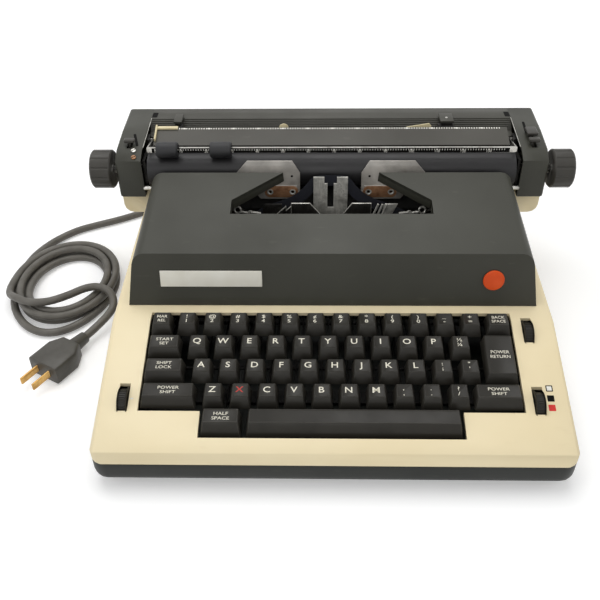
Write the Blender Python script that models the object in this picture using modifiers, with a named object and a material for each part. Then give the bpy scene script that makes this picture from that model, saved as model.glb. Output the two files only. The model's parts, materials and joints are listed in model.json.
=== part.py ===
"""Portable electric typewriter with a sliding carriage, a keyboard and a type basket.

Run it in Blender 4.5: blender --background --python part.py
Lengths are in metres. +X is the typist's right, +Y is the rear, +Z is up, and the feet
stand on Z = 0 with the machine centred on the origin.
"""
import math

import bmesh
import bpy
from mathutils import Matrix, Vector

# Shared clearances and walls
GAP = 0.0003                 # between pieces that rest on each other
RUNNING_GAP = 0.0006         # between pieces that move past each other
OVERRUN = 0.004              # how far a cutter passes the face that it cuts
SHELL_WALL = 0.0026
SHEET = 0.0012               # pressed steel plates and levers
WELD_DISTANCE = 0.00001
FLAT_ANGLE = math.radians(0.3)    # faces that meet flatter than this are one face

# Body shell, seen from the side: places along Y and heights
BODY_HALF_WIDTH = 0.165
BODY_FRONT_Y = -0.1605
BODY_REAR_Y = 0.1530
SEAM_Z = 0.0250
FRONT_CREASE_Y = -0.1555
FRONT_CREASE_Z = 0.0320
DECK_BACK_Y = -0.0545
DECK_BACK_Z = 0.0630
SIDE_DECK_Y = -0.0085
SIDE_DECK_Z = 0.0665
SHELF_Z = 0.0720
BED_FRONT_Y = 0.0880
BED_TOP_Z = 0.0895
BED_WING_HALF_WIDTH = 0.1820
BED_WING_Z = 0.0675
BED_REAR_Y = 0.1524
WING_CORNER = 0.0080
BODY_CORNER = 0.0110
BODY_EDGE = 0.0036
CORNER_STEPS = 5
MAIN_OPENING_HALF_WIDTH = 0.1480
MAIN_OPENING_FRONT_Y = -0.0330
MAIN_OPENING_REAR_Y = 0.0840
CHANNEL_HALF_WIDTH = 0.1500
CHANNEL_FRONT_Y = 0.1020
CHANNEL_REAR_Y = 0.1420

# Base pan and feet
PAN_BOTTOM_Z = 0.0060
PAN_FLOOR = 0.0025
PAN_EDGE = 0.0075
SEAM_GAP = 0.0006
FOOT_RADIUS = 0.0100
FOOT_X = 0.1400
FOOT_FRONT_Y = -0.1330
FOOT_REAR_Y = 0.1250
FOOT_STEPS = 20

# Top cover
COVER_BOTTOM_HALF_WIDTH = 0.1545
COVER_TOP_HALF_WIDTH = 0.1480
COVER_FRONT_Y = -0.0395
COVER_CREASE_Y = -0.0300
COVER_CREASE_Z = 0.1058
COVER_REAR_Y = 0.0600
COVER_REAR_Z = 0.1228
COVER_SIDE_ROUND = 0.0080
COVER_CREASE_ROUND = 0.0016
COVER_WALL = 0.0024
OPENING_FRONT_Y = 0.0120
OPENING_FRONT_HALF_WIDTH = 0.0785
OPENING_SIDE_Y = 0.0275
OPENING_REAR_HALF_WIDTH = 0.0390

# Bare nameplate and round badge on the cover's front
NAMEPLATE_X = -0.0903
NAMEPLATE_LENGTH = 0.0765
NAMEPLATE_HEIGHT = 0.0130
NAMEPLATE_THICKNESS = 0.0012
NAMEPLATE_Z = 0.0864
BADGE_X = 0.1202
BADGE_RADIUS = 0.0080
BADGE_THICKNESS = 0.0014
BADGE_Z = 0.0855

# Keyboard
KEY_PITCH = 0.01905
ROW_RISE = 0.0056
SHIFT_ROW_Y = -0.1145
SHIFT_ROW_Z = 0.0500
KEY_TOP_WIDTH = 0.0114
KEY_TOP_DEPTH = 0.0115
KEY_BASE_WIDTH = 0.0152
KEY_FRONT_RUN = 0.0030       # how far the cap's front slopes forward
KEY_REAR_RUN = 0.0013
KEY_HEIGHT = 0.0086
KEY_EDGE = 0.0007
KEY_DISH = 0.0005
KEY_RIM = 0.0009
KEY_TRAVEL = 0.0040
DIGIT_ROW_X = -0.1072
UPPER_ROW_X = -0.0977
HOME_ROW_X = -0.0929
LOWER_ROW_X = -0.0834
DIGIT_KEYS = 12
UPPER_KEYS = 11
HOME_KEYS = 11
LOWER_KEYS = 10
SPACE_HEIGHT = 0.0108
SPACE_TOP_DEPTH = 0.0118
SPACE_FRONT_RUN = 0.0035
KEY_LEVER_HEIGHT = 0.0042
LEVER_DROP = 0.0016          # how far a function key's lever lies below its cap
KEY_TOP_SLOPE_SHARE = 0.16   # rise of a cap's top to the rear for its depth
KEY_STEM_DEPTH = 0.0060

# Function keys: the middles and widths of the caps, and where their levers lie
MARGIN_RELEASE_X = -0.1263
BACK_SPACE_X = 0.1224
TAB_SET_X = -0.1222
SHIFT_LOCK_X = -0.1202
LEFT_SHIFT_X = -0.1151
RIGHT_SHIFT_X = 0.1151
RETURN_X = 0.1198
HALF_SPACE_X = -0.0767
SPACE_BAR_X = 0.0145
MARGIN_RELEASE_WIDTH = 0.0122
BACK_SPACE_WIDTH = 0.0142
TAB_SET_WIDTH = 0.0208
SHIFT_LOCK_WIDTH = 0.0252
LEFT_SHIFT_WIDTH = 0.0352
RIGHT_SHIFT_WIDTH = 0.0300
RETURN_WIDTH = 0.0196
HALF_SPACE_WIDTH = 0.0245
SPACE_BAR_WIDTH = 0.1440
MARGIN_RELEASE_LEVER_X = -0.1310
TAB_SET_LEVER_X = -0.1270
SHIFT_LOCK_LEVER_X = -0.1230
LEFT_SHIFT_LEVER_X = -0.1190
BACK_SPACE_LEVER_X = 0.1275
RETURN_LEVER_X = 0.1225
RIGHT_SHIFT_LEVER_X = 0.1175
HALF_SPACE_LEVER_X = -0.0767
SPACE_LEVER_LEFT_X = -0.0450
SPACE_LEVER_RIGHT_X = 0.0740

# Keyboard cut-out in the deck
WELL_LEFT_X = -0.1356
WELL_RIGHT_X = 0.1328
WELL_FRONT_Y = -0.1265
WELL_REAR_Y = -0.0472
SPACE_WELL_LEFT_X = -0.0920
SPACE_WELL_RIGHT_X = 0.0902
SPACE_WELL_FRONT_Y = -0.1455

# Key-lever rods, from the lowest up: lower, home, upper and digit rows
ROD_Y = -0.0120
ROD_LOW_Z = 0.0230
ROD_PITCH = 0.0070
ROD_RADIUS = 0.0015
ROD_STEPS = 12
EYE_RADIUS = 0.0030
SIDE_ROD_INNER_X = 0.1125
SIDE_ROD_Y = -0.0220
SIDE_ROD_Z = 0.0330
SPACE_ROD_Y = -0.0600
SPACE_ROD_Z = 0.0180

# Chassis
CHASSIS_HALF_WIDTH = 0.1386
CHASSIS_BOTTOM_Z = 0.0088
CHASSIS_FRONT_Y = -0.1300
CHASSIS_REAR_Y = 0.1460
CHASSIS_FRONT_TOP_Z = 0.0300
CHASSIS_STEP_Y = -0.0640
CHASSIS_MIDDLE_TOP_Z = 0.0500
CHASSIS_RAIL_FRONT_Y = 0.1040
CHASSIS_RAIL_TOP_Z = 0.0790
CROSS_FRONT_Y = 0.0860
CROSS_REAR_Y = 0.0980
CROSS_BOTTOM_Z = 0.0390
CROSS_TOP_Z = 0.0460
FLOOR_BAR_FRONT_Y = -0.0900
FLOOR_BAR_DEPTH = 0.0120
RAIL_BRACKET_TOP_Z = 0.0790
SPOOL_X = 0.1120
SPOOL_Y = 0.0080
SPOOL_SHELF_Z = 0.0690
SPOOL_SHELF_LENGTH = 0.0240
SPOOL_RADIUS = 0.0200
SPOOL_HEIGHT = 0.0150
SPOOL_CORE_RADIUS = 0.0150
SPOOL_FLANGE = 0.0010
SPINDLE_RADIUS = 0.0022

# Drive
MOTOR_X = 0.0700
MOTOR_Y = 0.1220
MOTOR_Z = 0.0310
MOTOR_RADIUS = 0.0190
MOTOR_LENGTH = 0.0640
MOTOR_BELL = 0.0080
DRIVE_SHAFT_RADIUS = 0.0025
PULLEY_X = 0.1180
PULLEY_WIDTH = 0.0070
MOTOR_PULLEY_RADIUS = 0.0055
ROLL_PULLEY_RADIUS = 0.0120
ROLL_Y = 0.0620
ROLL_Z = 0.0240
ROLL_RADIUS = 0.0090
ROLL_HALF_LENGTH = 0.1080
BELT_THICKNESS = 0.0016

# Carriage
CARRIAGE_HALF_WIDTH = 0.1800
CAP_INNER_X = 0.1580
CAP_FRONT_Y = 0.0740
CAP_NOSE_Z = 0.1255
CAP_BROW_Y = 0.0860
CAP_BROW_Z = 0.1310
CAP_WALL = 0.0020
CAP_EDGE = 0.0022
CARRIAGE_TOP_Z = 0.1360
CARRIAGE_STRIP_Y = 0.1340
CARRIAGE_REAR_TOP_Y = 0.1520
CARRIAGE_REAR_Y = 0.1605
CARRIAGE_REAR_SHOULDER_Z = 0.1280
TROUGH_Y = 0.1240
TROUGH_FRONT_Y = 0.1150
TROUGH_Z = 0.1270
SKIN = 0.0024
FRAME_FLOOR = 0.0024
FRAME_FRONT_Y = 0.0980
FRAME_REAR_Y = 0.1480
FRAME_HALF_WIDTH = 0.1577
CHEEK_FRONT_Y = 0.0790
CHEEK_TOP_Z = 0.1235
CHEEK_THICKNESS = 0.0022
RAIL_FRONT_Y = 0.1170
RAIL_REAR_Y = 0.1290
RAIL_TOP_Z = 0.0911
FRAME_BOTTOM_Z = RAIL_TOP_Z + RUNNING_GAP + GAP
CAP_BOTTOM_Z = RAIL_TOP_Z + RUNNING_GAP      # the caps pass over the rail's ends
RAIL_HALF_LENGTH = 0.1340
SHOE_HALF_LENGTH = 0.0400
SHOE_THICKNESS = 0.0026
SHOE_DROP = 0.0070

# Platen and knobs
PLATEN_Y = 0.0860
PLATEN_Z = 0.1120
PLATEN_RADIUS = 0.0140
PLATEN_HALF_LENGTH = 0.1535
PLATEN_STEPS = 32
PLATEN_SHAFT_RADIUS = 0.0040
PLATEN_SHAFT_END_X = 0.1920
KNOB_RADIUS = 0.0163
KNOB_INNER_X = 0.1842
KNOB_OUTER_X = 0.2020
KNOB_EDGE = 0.0014
KNOB_STEPS = 24
KNOB_FLUTES = 12
KNOB_FLUTE_RADIUS = 0.0016

# Paper table, guide, bail and stops
TABLE_HALF_WIDTH = 0.1500
TABLE_LIP_Y = 0.0935
TABLE_LIP_Z = 0.1300
TABLE_TOP_Y = 0.1130
TABLE_TOP_Z = 0.1366
TABLE_SHEET = 0.0013
TABLE_TAIL_Y = 0.1040
TABLE_TAIL_Z = 0.1060
GUIDE_X = -0.1497
GUIDE_LENGTH = 0.0190
GUIDE_SHEET = 0.0014
GUIDE_HEIGHT = 0.0026
BAIL_Y = 0.0802
BAIL_Z = 0.1328
BAIL_HEIGHT = 0.0048
BAIL_SHEET = 0.0012
BAIL_ARM_X = 0.1515
BAIL_PIVOT_Y = 0.1085
BAIL_PIVOT_Z = 0.1276
BAIL_ARM_HEIGHT = 0.0040
BAIL_PIN_RADIUS = 0.0015
BAIL_EAR = 0.0056
BAIL_ROLLER_RADIUS = 0.0066
BAIL_ROLLER_BORE = 0.0031
BAIL_ROLLER_LENGTH = 0.0180
LEFT_ROLLER_X = -0.1355
RIGHT_ROLLER_X = -0.0910
ROLLER_STEPS = 20
STOP_Y = 0.1205
STOP_DEPTH = 0.0050
STOP_HEIGHT = 0.0085
STOP_WIDTH = 0.0060
RIGHT_STOP_WIDTH = 0.0135
LEFT_STOP_X = -0.1311
RIGHT_STOP_X = 0.0993

# Levers on the end caps
LEVER_X = 0.1690
LEVER_WIDTH = 0.0034
LEVER_PIVOT_Y = 0.1080
LEVER_PIVOT_Z = 0.1130
LEVER_PIN_RADIUS = 0.0018
LEVER_BOSS_RADIUS = 0.0040
RELEASE_PAD_Y = 0.1040
RELEASE_PAD_DEPTH = 0.0130
TAB_PAD_Y = 0.0915
TAB_PAD_DEPTH = 0.0055
PAD_WIDTH = 0.0090
PAD_HEIGHT = 0.0028
PAD_LIFT = 0.0026
LEVER_SLOT_MARGIN = 0.0034

# Type basket: bars on an arc round an axis that leans forward through the print point
BASKET_LEAN = math.radians(-15.0)
BASKET_REST = math.radians(35.0)
BAR_SWING = math.radians(86.5)
BASKET_HALF_FAN = math.radians(78.0)
SEGMENT_PIVOT_RADIUS = 0.0360
SEGMENT_DEPTH = 0.0520       # from the print point down the axis to the arc's centre
SEGMENT_INNER_RADIUS = 0.0280
SEGMENT_OUTER_RADIUS = 0.0385
SEGMENT_HALF_THICKNESS = 0.0042
SEGMENT_END_ANGLE = math.radians(84.0)
SEGMENT_STEPS = 42
TYPE_BARS = 44
MOVING_BAR = 22
BAR_THICKNESS = 0.0011
BAR_ROOT_HEIGHT = 0.0050
BAR_TIP_HEIGHT = 0.0030
SLUG_LENGTH = 0.0085
SLUG_WIDTH = 0.0030
SLUG_HEIGHT = 0.0042
BAR_SLOT_WIDTH = 0.0018
SEGMENT_FOOT_HALF_WIDTH = 0.0360
SEGMENT_FOOT_FRONT_Y = 0.0770
SEGMENT_FOOT_REAR_Y = 0.0950
SEGMENT_FOOT_TOP_Z = 0.0630
GUIDE_STEP_FRONT_Y = 0.0640
GUIDE_STEP_HALF_WIDTH = 0.0150
GUIDE_STEP_TOP_Z = 0.0620
GUIDE_STEP_BOTTOM_Z = 0.0500

# Type guide and card holders, in front of the platen
TYPE_GUIDE_Y = 0.0660
TYPE_GUIDE_HALF_WIDTH = 0.0143
TYPE_GUIDE_TOP_Z = 0.1150
TYPE_GUIDE_SLOT_HALF_WIDTH = 0.0026
TYPE_GUIDE_MOUTH_HALF_WIDTH = 0.0052
TYPE_GUIDE_MOUTH_Z = 0.1090
TYPE_GUIDE_SLOT_Z = 0.0860
HOLDER_Y = 0.0692
HOLDER_SHEET = 0.0012
HOLDER_INNER_X = 0.0255
HOLDER_OUTER_X = 0.0780
HOLDER_TOP_INNER_X = 0.0318
HOLDER_TOP_OUTER_X = 0.0690
HOLDER_TOP_Z = 0.1282
HOLDER_SHOULDER_Z = 0.1172
HOLDER_LOWER_OUTER_X = 0.0590
HOLDER_BOTTOM_Z = 0.0925
CLAMP_INNER_X = 0.0280
CLAMP_OUTER_X = 0.0560
CLAMP_BOTTOM_Z = 0.0965
CLAMP_TOP_Z = 0.1055
CLAMP_SHEET = 0.0012
HOLDER_ARM_OUTER_X = 0.0300
HOLDER_ARM_INNER_X = 0.0262
HOLDER_ARM_BOTTOM_Z = 0.0624

# Thumb wheels and slider in the deck
WHEEL_RADIUS = 0.0098
WHEEL_HALF_WIDTH = 0.0030
WHEEL_SINK = 0.0058          # how far a wheel's centre lies under the deck
WHEEL_BORE = 0.0021
WHEEL_PIN_RADIUS = 0.0017
WHEEL_STEPS = 28
SLOT_HALF_WIDTH = 0.0038
SLOT_HALF_LENGTH = 0.0102
LEFT_WHEEL_X = -0.1466
LEFT_WHEEL_Y = -0.1164
UPPER_WHEEL_X = 0.1436
UPPER_WHEEL_Y = -0.0624
LOWER_WHEEL_X = 0.1428
LOWER_WHEEL_Y = -0.1174

# Cord
CORD_RADIUS = 0.0034
CORD_EXIT_X = -0.1180
CORD_EXIT_Z = 0.0165
RELIEF_LENGTH = 0.0300
RELIEF_ROOT_RADIUS = 0.0066
RELIEF_TIP_RADIUS = 0.0047
RELIEF_BORE_RADIUS = 0.0037
RELIEF_STEPS = 20
LEAD_ROUTE = (
    (-0.1180, 0.1600, 0.0165), (-0.1180, 0.1840, 0.0165), (-0.1182, 0.1920, 0.0156),
    (-0.1215, 0.2040, 0.0116), (-0.1300, 0.2140, 0.0066), (-0.1430, 0.2170, 0.0040),
    (-0.1600, 0.2130, 0.0037), (-0.1780, 0.2010, 0.0037), (-0.1950, 0.1870, 0.0037),
    (-0.2160, 0.1740, 0.0037), (-0.2360, 0.1640, 0.0037), (-0.2530, 0.1545, 0.0037),
    (-0.2660, 0.1420, 0.0037), (-0.2765, 0.1275, 0.0037), (-0.2845, 0.1100, 0.0037),
    (-0.2880, 0.0920, 0.0037), (-0.2876, 0.0780, 0.0037), (-0.2876, 0.0691, 0.0037),
)
TAIL_ROUTE = (
    (-0.2876, 0.0549, 0.0111), (-0.2874, 0.0480, 0.0113), (-0.2835, 0.0370, 0.0140),
    (-0.2745, 0.0270, 0.0180), (-0.2600, 0.0195, 0.0190), (-0.2440, 0.0205, 0.0190),
    (-0.2290, 0.0290, 0.0190), (-0.2170, 0.0385, 0.0190), (-0.2060, 0.0415, 0.0190),
    (-0.1955, 0.0370, 0.0184), (-0.1892, 0.0280, 0.0164), (-0.1880, 0.0180, 0.0140),
    (-0.1917, 0.0090, 0.0118), (-0.1985, -0.0028, 0.0098), (-0.2047, -0.0135, 0.0091),
)
COIL_TURNS = 4
COIL_LAYERS = 2
COIL_CENTRE_X = -0.2400
COIL_CENTRE_Y = 0.0620
COIL_HALF_WIDTH = 0.0510
COIL_HALF_DEPTH = 0.0620
COIL_TURN_STEP = 0.0076
COIL_LAYER_STEP = 0.0074
COIL_POINTS_PER_TURN = 24
COIL_STRAY = 0.0090          # how far the first half turn strays from the rest at the front

# Plug, lying on the floor with its blades towards the front left
PLUG_X = -0.2050
PLUG_Y = -0.0140
PLUG_Z = 0.0091
PLUG_HEADING = math.radians(240.0)
PLUG_NECK_LENGTH = 0.0140
PLUG_NECK_RADIUS = 0.0050
PLUG_BODY_LENGTH = 0.0330
PLUG_REAR_HALF_WIDTH = 0.0085
PLUG_HALF_WIDTH = 0.0150
PLUG_HALF_HEIGHT = 0.0086
PLUG_SHOULDER = 0.0110
PLUG_ROUND = 0.0030
BLADE_LENGTH = 0.0180
BLADE_WIDTH = 0.0063
BLADE_THICKNESS = 0.0015
BLADE_PITCH = 0.0127

# Colours, roughness and metallic value of each finish
FINISHES = {
    "cream": ((0.92, 0.83, 0.64), 0.45, 0.0),
    "cover_green": ((0.085, 0.083, 0.066), 0.55, 0.0),
    "base_dark": ((0.045, 0.047, 0.042), 0.55, 0.0),
    "key_black": ((0.030, 0.030, 0.026), 0.45, 0.0),
    "rubber": ((0.020, 0.020, 0.022), 0.60, 0.0),
    "steel": ((0.56, 0.56, 0.55), 0.32, 1.0),
    "bright_steel": ((0.78, 0.77, 0.74), 0.22, 1.0),
    "copper": ((0.55, 0.33, 0.20), 0.30, 1.0),
    "smoke": ((0.22, 0.22, 0.21), 0.35, 0.0),
    "ivory": ((0.80, 0.74, 0.58), 0.45, 0.0),
    "orange": ((0.85, 0.10, 0.01), 0.40, 0.0),
    "chrome_plate": ((0.80, 0.80, 0.78), 0.25, 1.0),
    "cord_grey": ((0.115, 0.108, 0.098), 0.60, 0.0),
}

PARTS = None
CUTTERS = None


def start_scene():
    """Empty the scene and make one collection for the pieces and one for the cutters."""
    global PARTS, CUTTERS
    for old in list(bpy.data.objects):
        bpy.data.objects.remove(old, do_unlink=True)
    PARTS = bpy.data.collections.new("electric_typewriter")
    CUTTERS = bpy.data.collections.new("cutters")
    bpy.context.scene.collection.children.link(PARTS)
    bpy.context.scene.collection.children.link(CUTTERS)


def material(name):
    """Return the finish with this name, made on first use."""
    found = bpy.data.materials.get(name)
    if found:
        return found
    colour, roughness, metallic = FINISHES[name]
    made = bpy.data.materials.new(name)
    made.use_nodes = True
    shader = made.node_tree.nodes["Principled BSDF"]
    shader.inputs["Base Color"].default_value = (*colour, 1.0)
    shader.inputs["Roughness"].default_value = roughness
    shader.inputs["Metallic"].default_value = metallic
    made.diffuse_color = (*colour, 1.0)
    return made


def add_object(name, mesh, group):
    """Link a mesh as an object in a collection."""
    made = bpy.data.objects.new(name, mesh)
    group.objects.link(made)
    return made


def mesh_from(name, bm):
    """Turn a bmesh into a mesh with outward faces."""
    bmesh.ops.recalc_face_normals(bm, faces=bm.faces)
    mesh = bpy.data.meshes.new(name)
    bm.to_mesh(mesh)
    bm.free()
    return mesh


def box(name, low, high):
    """A block between two corners."""
    bm = bmesh.new()
    bmesh.ops.create_cube(bm, size=1.0)
    size = [high[i] - low[i] for i in range(3)]
    centre = [(high[i] + low[i]) / 2 for i in range(3)]
    bmesh.ops.transform(bm, matrix=Matrix.Translation(centre) @ Matrix.Diagonal((*size, 1.0)),
                        verts=bm.verts)
    return add_object(name, mesh_from(name, bm), PARTS)


def curve_to_mesh(name, curve, matrix, group):
    """Replace a curve object's data by a welded mesh that carries its placement."""
    holder = add_object(name + "_curve", curve, group)
    holder.matrix_world = matrix
    bpy.context.view_layer.update()
    evaluated = holder.evaluated_get(bpy.context.evaluated_depsgraph_get())
    mesh = bpy.data.meshes.new_from_object(evaluated)
    mesh.transform(holder.matrix_world)
    bpy.data.objects.remove(holder, do_unlink=True)
    bm = bmesh.new()
    bm.from_mesh(mesh)
    bmesh.ops.remove_doubles(bm, verts=bm.verts, dist=WELD_DISTANCE)
    bmesh.ops.dissolve_limit(bm, angle_limit=FLAT_ANGLE, verts=bm.verts, edges=bm.edges)
    bmesh.ops.recalc_face_normals(bm, faces=bm.faces)
    bm.to_mesh(mesh)
    bm.free()
    mesh.name = name
    return add_object(name, mesh, group)


SIDE_VIEW = Matrix(((0, 0, 1, 0), (1, 0, 0, 0), (0, 1, 0, 0), (0, 0, 0, 1)))
FRONT_VIEW = Matrix(((1, 0, 0, 0), (0, 0, -1, 0), (0, 1, 0, 0), (0, 0, 0, 1)))
TOP_VIEW = Matrix.Identity(4)


def outline(name, points, low, high, view, group=None):
    """A flat outline swept from low to high, square to its view.

    The side view takes (Y, Z) points and sweeps along X, the front view takes (X, Z) points
    and sweeps along Y, and the top view takes (X, Y) points and sweeps along Z.
    """
    curve = bpy.data.curves.new(name, "CURVE")
    curve.dimensions = "2D"
    curve.fill_mode = "BOTH"
    curve.extrude = (high - low) / 2
    spline = curve.splines.new("POLY")
    spline.points.add(len(points) - 1)
    for point, (u, v) in zip(spline.points, points):
        point.co = (u, v, 0.0, 1.0)
    spline.use_cyclic_u = True
    middle = (low + high) / 2
    along = view @ Vector((0.0, 0.0, middle if view is not FRONT_VIEW else -middle, 0.0))
    placed = Matrix.Translation(along.to_3d()) @ view
    return curve_to_mesh(name, curve, placed, group or PARTS)


def turned(name, profile, steps, axis="Z", centre=(0.0, 0.0, 0.0), group=None):
    """A body of revolution. The profile lists (radius, place along the axis) top to bottom."""
    mesh = bpy.data.meshes.new(name)
    points = [(radius, 0.0, along) for radius, along in profile]
    mesh.from_pydata(points, [(i, i + 1) for i in range(len(points) - 1)], [])
    spun = add_object(name, mesh, group or PARTS)
    screw = spun.modifiers.new("turn", "SCREW")
    screw.steps = steps
    screw.render_steps = steps
    screw.use_merge_vertices = True
    screw.merge_threshold = WELD_DISTANCE
    screw.use_normal_calculate = True
    turn = {"Z": Matrix.Identity(4), "X": Matrix.Rotation(math.radians(90.0), 4, "Y"),
            "Y": Matrix.Rotation(math.radians(-90.0), 4, "X")}[axis]
    bake(spun)
    spun.data.transform(Matrix.Translation(centre) @ turn)
    bm = bmesh.new()
    bm.from_mesh(spun.data)
    bmesh.ops.remove_doubles(bm, verts=bm.verts, dist=WELD_DISTANCE)
    bmesh.ops.recalc_face_normals(bm, faces=bm.faces)
    bm.to_mesh(spun.data)
    bm.free()
    return spun


def bake(target):
    """Apply all of an object's modifiers, so that its mesh can be joined or cut again."""
    bpy.context.view_layer.update()
    evaluated = target.evaluated_get(bpy.context.evaluated_depsgraph_get())
    mesh = bpy.data.meshes.new_from_object(evaluated)
    target.modifiers.clear()
    target.data = mesh
    return target


def round_edges(target, chosen, radius, segments):
    """Bevel the edges that a test on their two ends and their length picks."""
    bm = bmesh.new()
    bm.from_mesh(target.data)
    edges = [edge for edge in bm.edges if chosen(edge.verts[0].co, edge.verts[1].co)]
    bmesh.ops.bevel(bm, geom=edges, offset=radius, segments=segments, profile=0.5,
                    affect="EDGES", clamp_overlap=True)
    bmesh.ops.recalc_face_normals(bm, faces=bm.faces)
    bm.to_mesh(target.data)
    bm.free()
    return target


def along_axis(axis):
    """A test for edges that run along one axis."""
    def test(a, b):
        run = (b - a).normalized()
        return abs(run[axis]) > math.cos(math.radians(1.0))
    return test


def combine(target, other, operation):
    """Add or take away another solid with an exact Boolean, and bake the result."""
    modifier = target.modifiers.new(operation.lower(), "BOOLEAN")
    modifier.operation = operation
    modifier.solver = "EXACT"
    modifier.object = other
    bake(target)
    bpy.data.objects.remove(other, do_unlink=True)
    return weld(target)


def weld(target):
    """Merge corners that fall together and drop the slivers between them."""
    bm = bmesh.new()
    bm.from_mesh(target.data)
    bmesh.ops.remove_doubles(bm, verts=bm.verts, dist=WELD_DISTANCE)
    bmesh.ops.dissolve_degenerate(bm, edges=bm.edges, dist=WELD_DISTANCE)
    bm.to_mesh(target.data)
    bm.free()
    return target


def cut(target, cutter):
    """Take a cutter away from a solid."""
    return combine(target, cutter, "DIFFERENCE")


def join(target, other):
    """Fuse another solid with this one."""
    return combine(target, other, "UNION")


def gather(name, pieces):
    """Put pieces that don't touch each other in one mesh, before a body that carries them all."""
    bm = bmesh.new()
    for piece in pieces:
        bm.from_mesh(piece.data)
        bpy.data.objects.remove(piece, do_unlink=True)
    mesh = bpy.data.meshes.new(name)
    bm.to_mesh(mesh)
    bm.free()
    return add_object(name, mesh, PARTS)


def bevel(target, width, segments=1, angle=30.0):
    """Round the sharp edges of a finished solid."""
    modifier = target.modifiers.new("edges", "BEVEL")
    modifier.width = width
    modifier.segments = segments
    modifier.limit_method = "ANGLE"
    modifier.angle_limit = math.radians(angle)
    return target


def finish(target, finish_name, origin=(0.0, 0.0, 0.0), smooth=35.0):
    """Give a piece its material, its origin and its shading."""
    bake(target)
    target.data.transform(Matrix.Translation(-Vector(origin)))
    target.location = origin
    target.data.materials.clear()
    target.data.materials.append(material(finish_name))
    target.data.shade_smooth()
    target.data.set_sharp_from_angle(angle=math.radians(smooth))
    return target


def deck_height(y):
    """Height of the sloping keyboard deck at a place along Y."""
    slope = (DECK_BACK_Z - FRONT_CREASE_Z) / (DECK_BACK_Y - FRONT_CREASE_Y)
    return FRONT_CREASE_Z + (y - FRONT_CREASE_Y) * slope


def body_outline(inset):
    """Side view of the body shell, or of its hollow when inset is a wall."""
    low = SEAM_Z - (OVERRUN if inset else 0.0)
    return [
        (BODY_FRONT_Y + inset, low),
        (FRONT_CREASE_Y + inset, FRONT_CREASE_Z - inset),
        (DECK_BACK_Y, DECK_BACK_Z - inset),
        (SIDE_DECK_Y, SIDE_DECK_Z - inset),
        (BED_FRONT_Y, SHELF_Z - inset),
        (BODY_REAR_Y - inset, SHELF_Z - inset),
        (BODY_REAR_Y - inset, low),
    ]


def wheel_slot(x, y):
    """Cutter for a thumb wheel's slot in the deck."""
    low = deck_height(y) - WHEEL_RADIUS
    high = deck_height(y) + WHEEL_RADIUS
    return box("slot_cut", (x - SLOT_HALF_WIDTH, y - SLOT_HALF_LENGTH, low),
               (x + SLOT_HALF_WIDTH, y + SLOT_HALF_LENGTH, high))


def body_solid(name, inset, radius):
    """The body without its bed: the side view swept across, trimmed to the rounded plan."""
    half = BODY_HALF_WIDTH - inset
    solid = outline(name, body_outline(inset), -half, half, SIDE_VIEW)
    round_edges(solid, lambda a, b: abs(a.x - b.x) < GAP and abs(a.y - b.y) > GAP
                and min(a.z, b.z) > FRONT_CREASE_Z - inset - GAP, radius, 3)
    front = BODY_FRONT_Y + inset - GAP
    corner = BODY_CORNER - inset
    points = [(half + OVERRUN, BODY_REAR_Y + OVERRUN), (-half - OVERRUN, BODY_REAR_Y + OVERRUN),
              (-half - OVERRUN, front + corner)]
    for side, first in ((-1, math.pi), (1, 1.5 * math.pi)):
        for step in range(CORNER_STEPS + 1):
            angle = first + math.pi / 2 * step / CORNER_STEPS
            points.append((side * (half - corner) + corner * math.cos(angle),
                           front + corner + corner * math.sin(angle)))
    points.append((half + OVERRUN, front + corner))
    plan = outline("plan", points, SEAM_Z - 2 * OVERRUN, BED_TOP_Z, TOP_VIEW)
    return combine(solid, plan, "INTERSECT")


def make_body_shell():
    """The cream shell: sloping keyboard deck, shelf for the cover and bed for the carriage."""
    shell = body_solid("body_shell", 0.0, BODY_EDGE)
    bed = box("bed", (-BED_WING_HALF_WIDTH, BED_FRONT_Y, BED_WING_Z),
              (BED_WING_HALF_WIDTH, BED_REAR_Y, BED_TOP_Z))
    round_edges(bed, lambda a, b: abs(a.y - b.y) > GAP and max(a.z, b.z) < BED_WING_Z + GAP,
                WING_CORNER, 3)
    join(shell, bed)
    cut(shell, body_solid("hollow", SHELL_WALL, BODY_EDGE / 2))
    for half, low in ((BODY_HALF_WIDTH, SIDE_DECK_Z - BODY_EDGE), (BED_WING_HALF_WIDTH, BED_WING_Z)):
        cut(shell, box("bed_hollow", (-half + SHELL_WALL, BED_FRONT_Y + SHELL_WALL, low + SHELL_WALL),
                       (half - SHELL_WALL, BED_REAR_Y - SHELL_WALL, BED_TOP_Z - SHELL_WALL)))
    above = BED_TOP_Z + OVERRUN
    cut(shell, box("well", (WELL_LEFT_X, WELL_FRONT_Y, SEAM_Z), (WELL_RIGHT_X, WELL_REAR_Y, above)))
    cut(shell, box("space_well", (SPACE_WELL_LEFT_X, SPACE_WELL_FRONT_Y, SEAM_Z),
                   (SPACE_WELL_RIGHT_X, WELL_FRONT_Y + OVERRUN, above)))
    cut(shell, box("main", (-MAIN_OPENING_HALF_WIDTH, MAIN_OPENING_FRONT_Y, SEAM_Z),
                   (MAIN_OPENING_HALF_WIDTH, MAIN_OPENING_REAR_Y, above)))
    cut(shell, box("channel", (-CHANNEL_HALF_WIDTH, CHANNEL_FRONT_Y, SHELF_Z),
                   (CHANNEL_HALF_WIDTH, CHANNEL_REAR_Y, above)))
    for x, y in ((LEFT_WHEEL_X, LEFT_WHEEL_Y), (UPPER_WHEEL_X, UPPER_WHEEL_Y),
                 (LOWER_WHEEL_X, LOWER_WHEEL_Y)):
        cut(shell, wheel_slot(x, y))
    return finish(shell, "cream")


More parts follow.
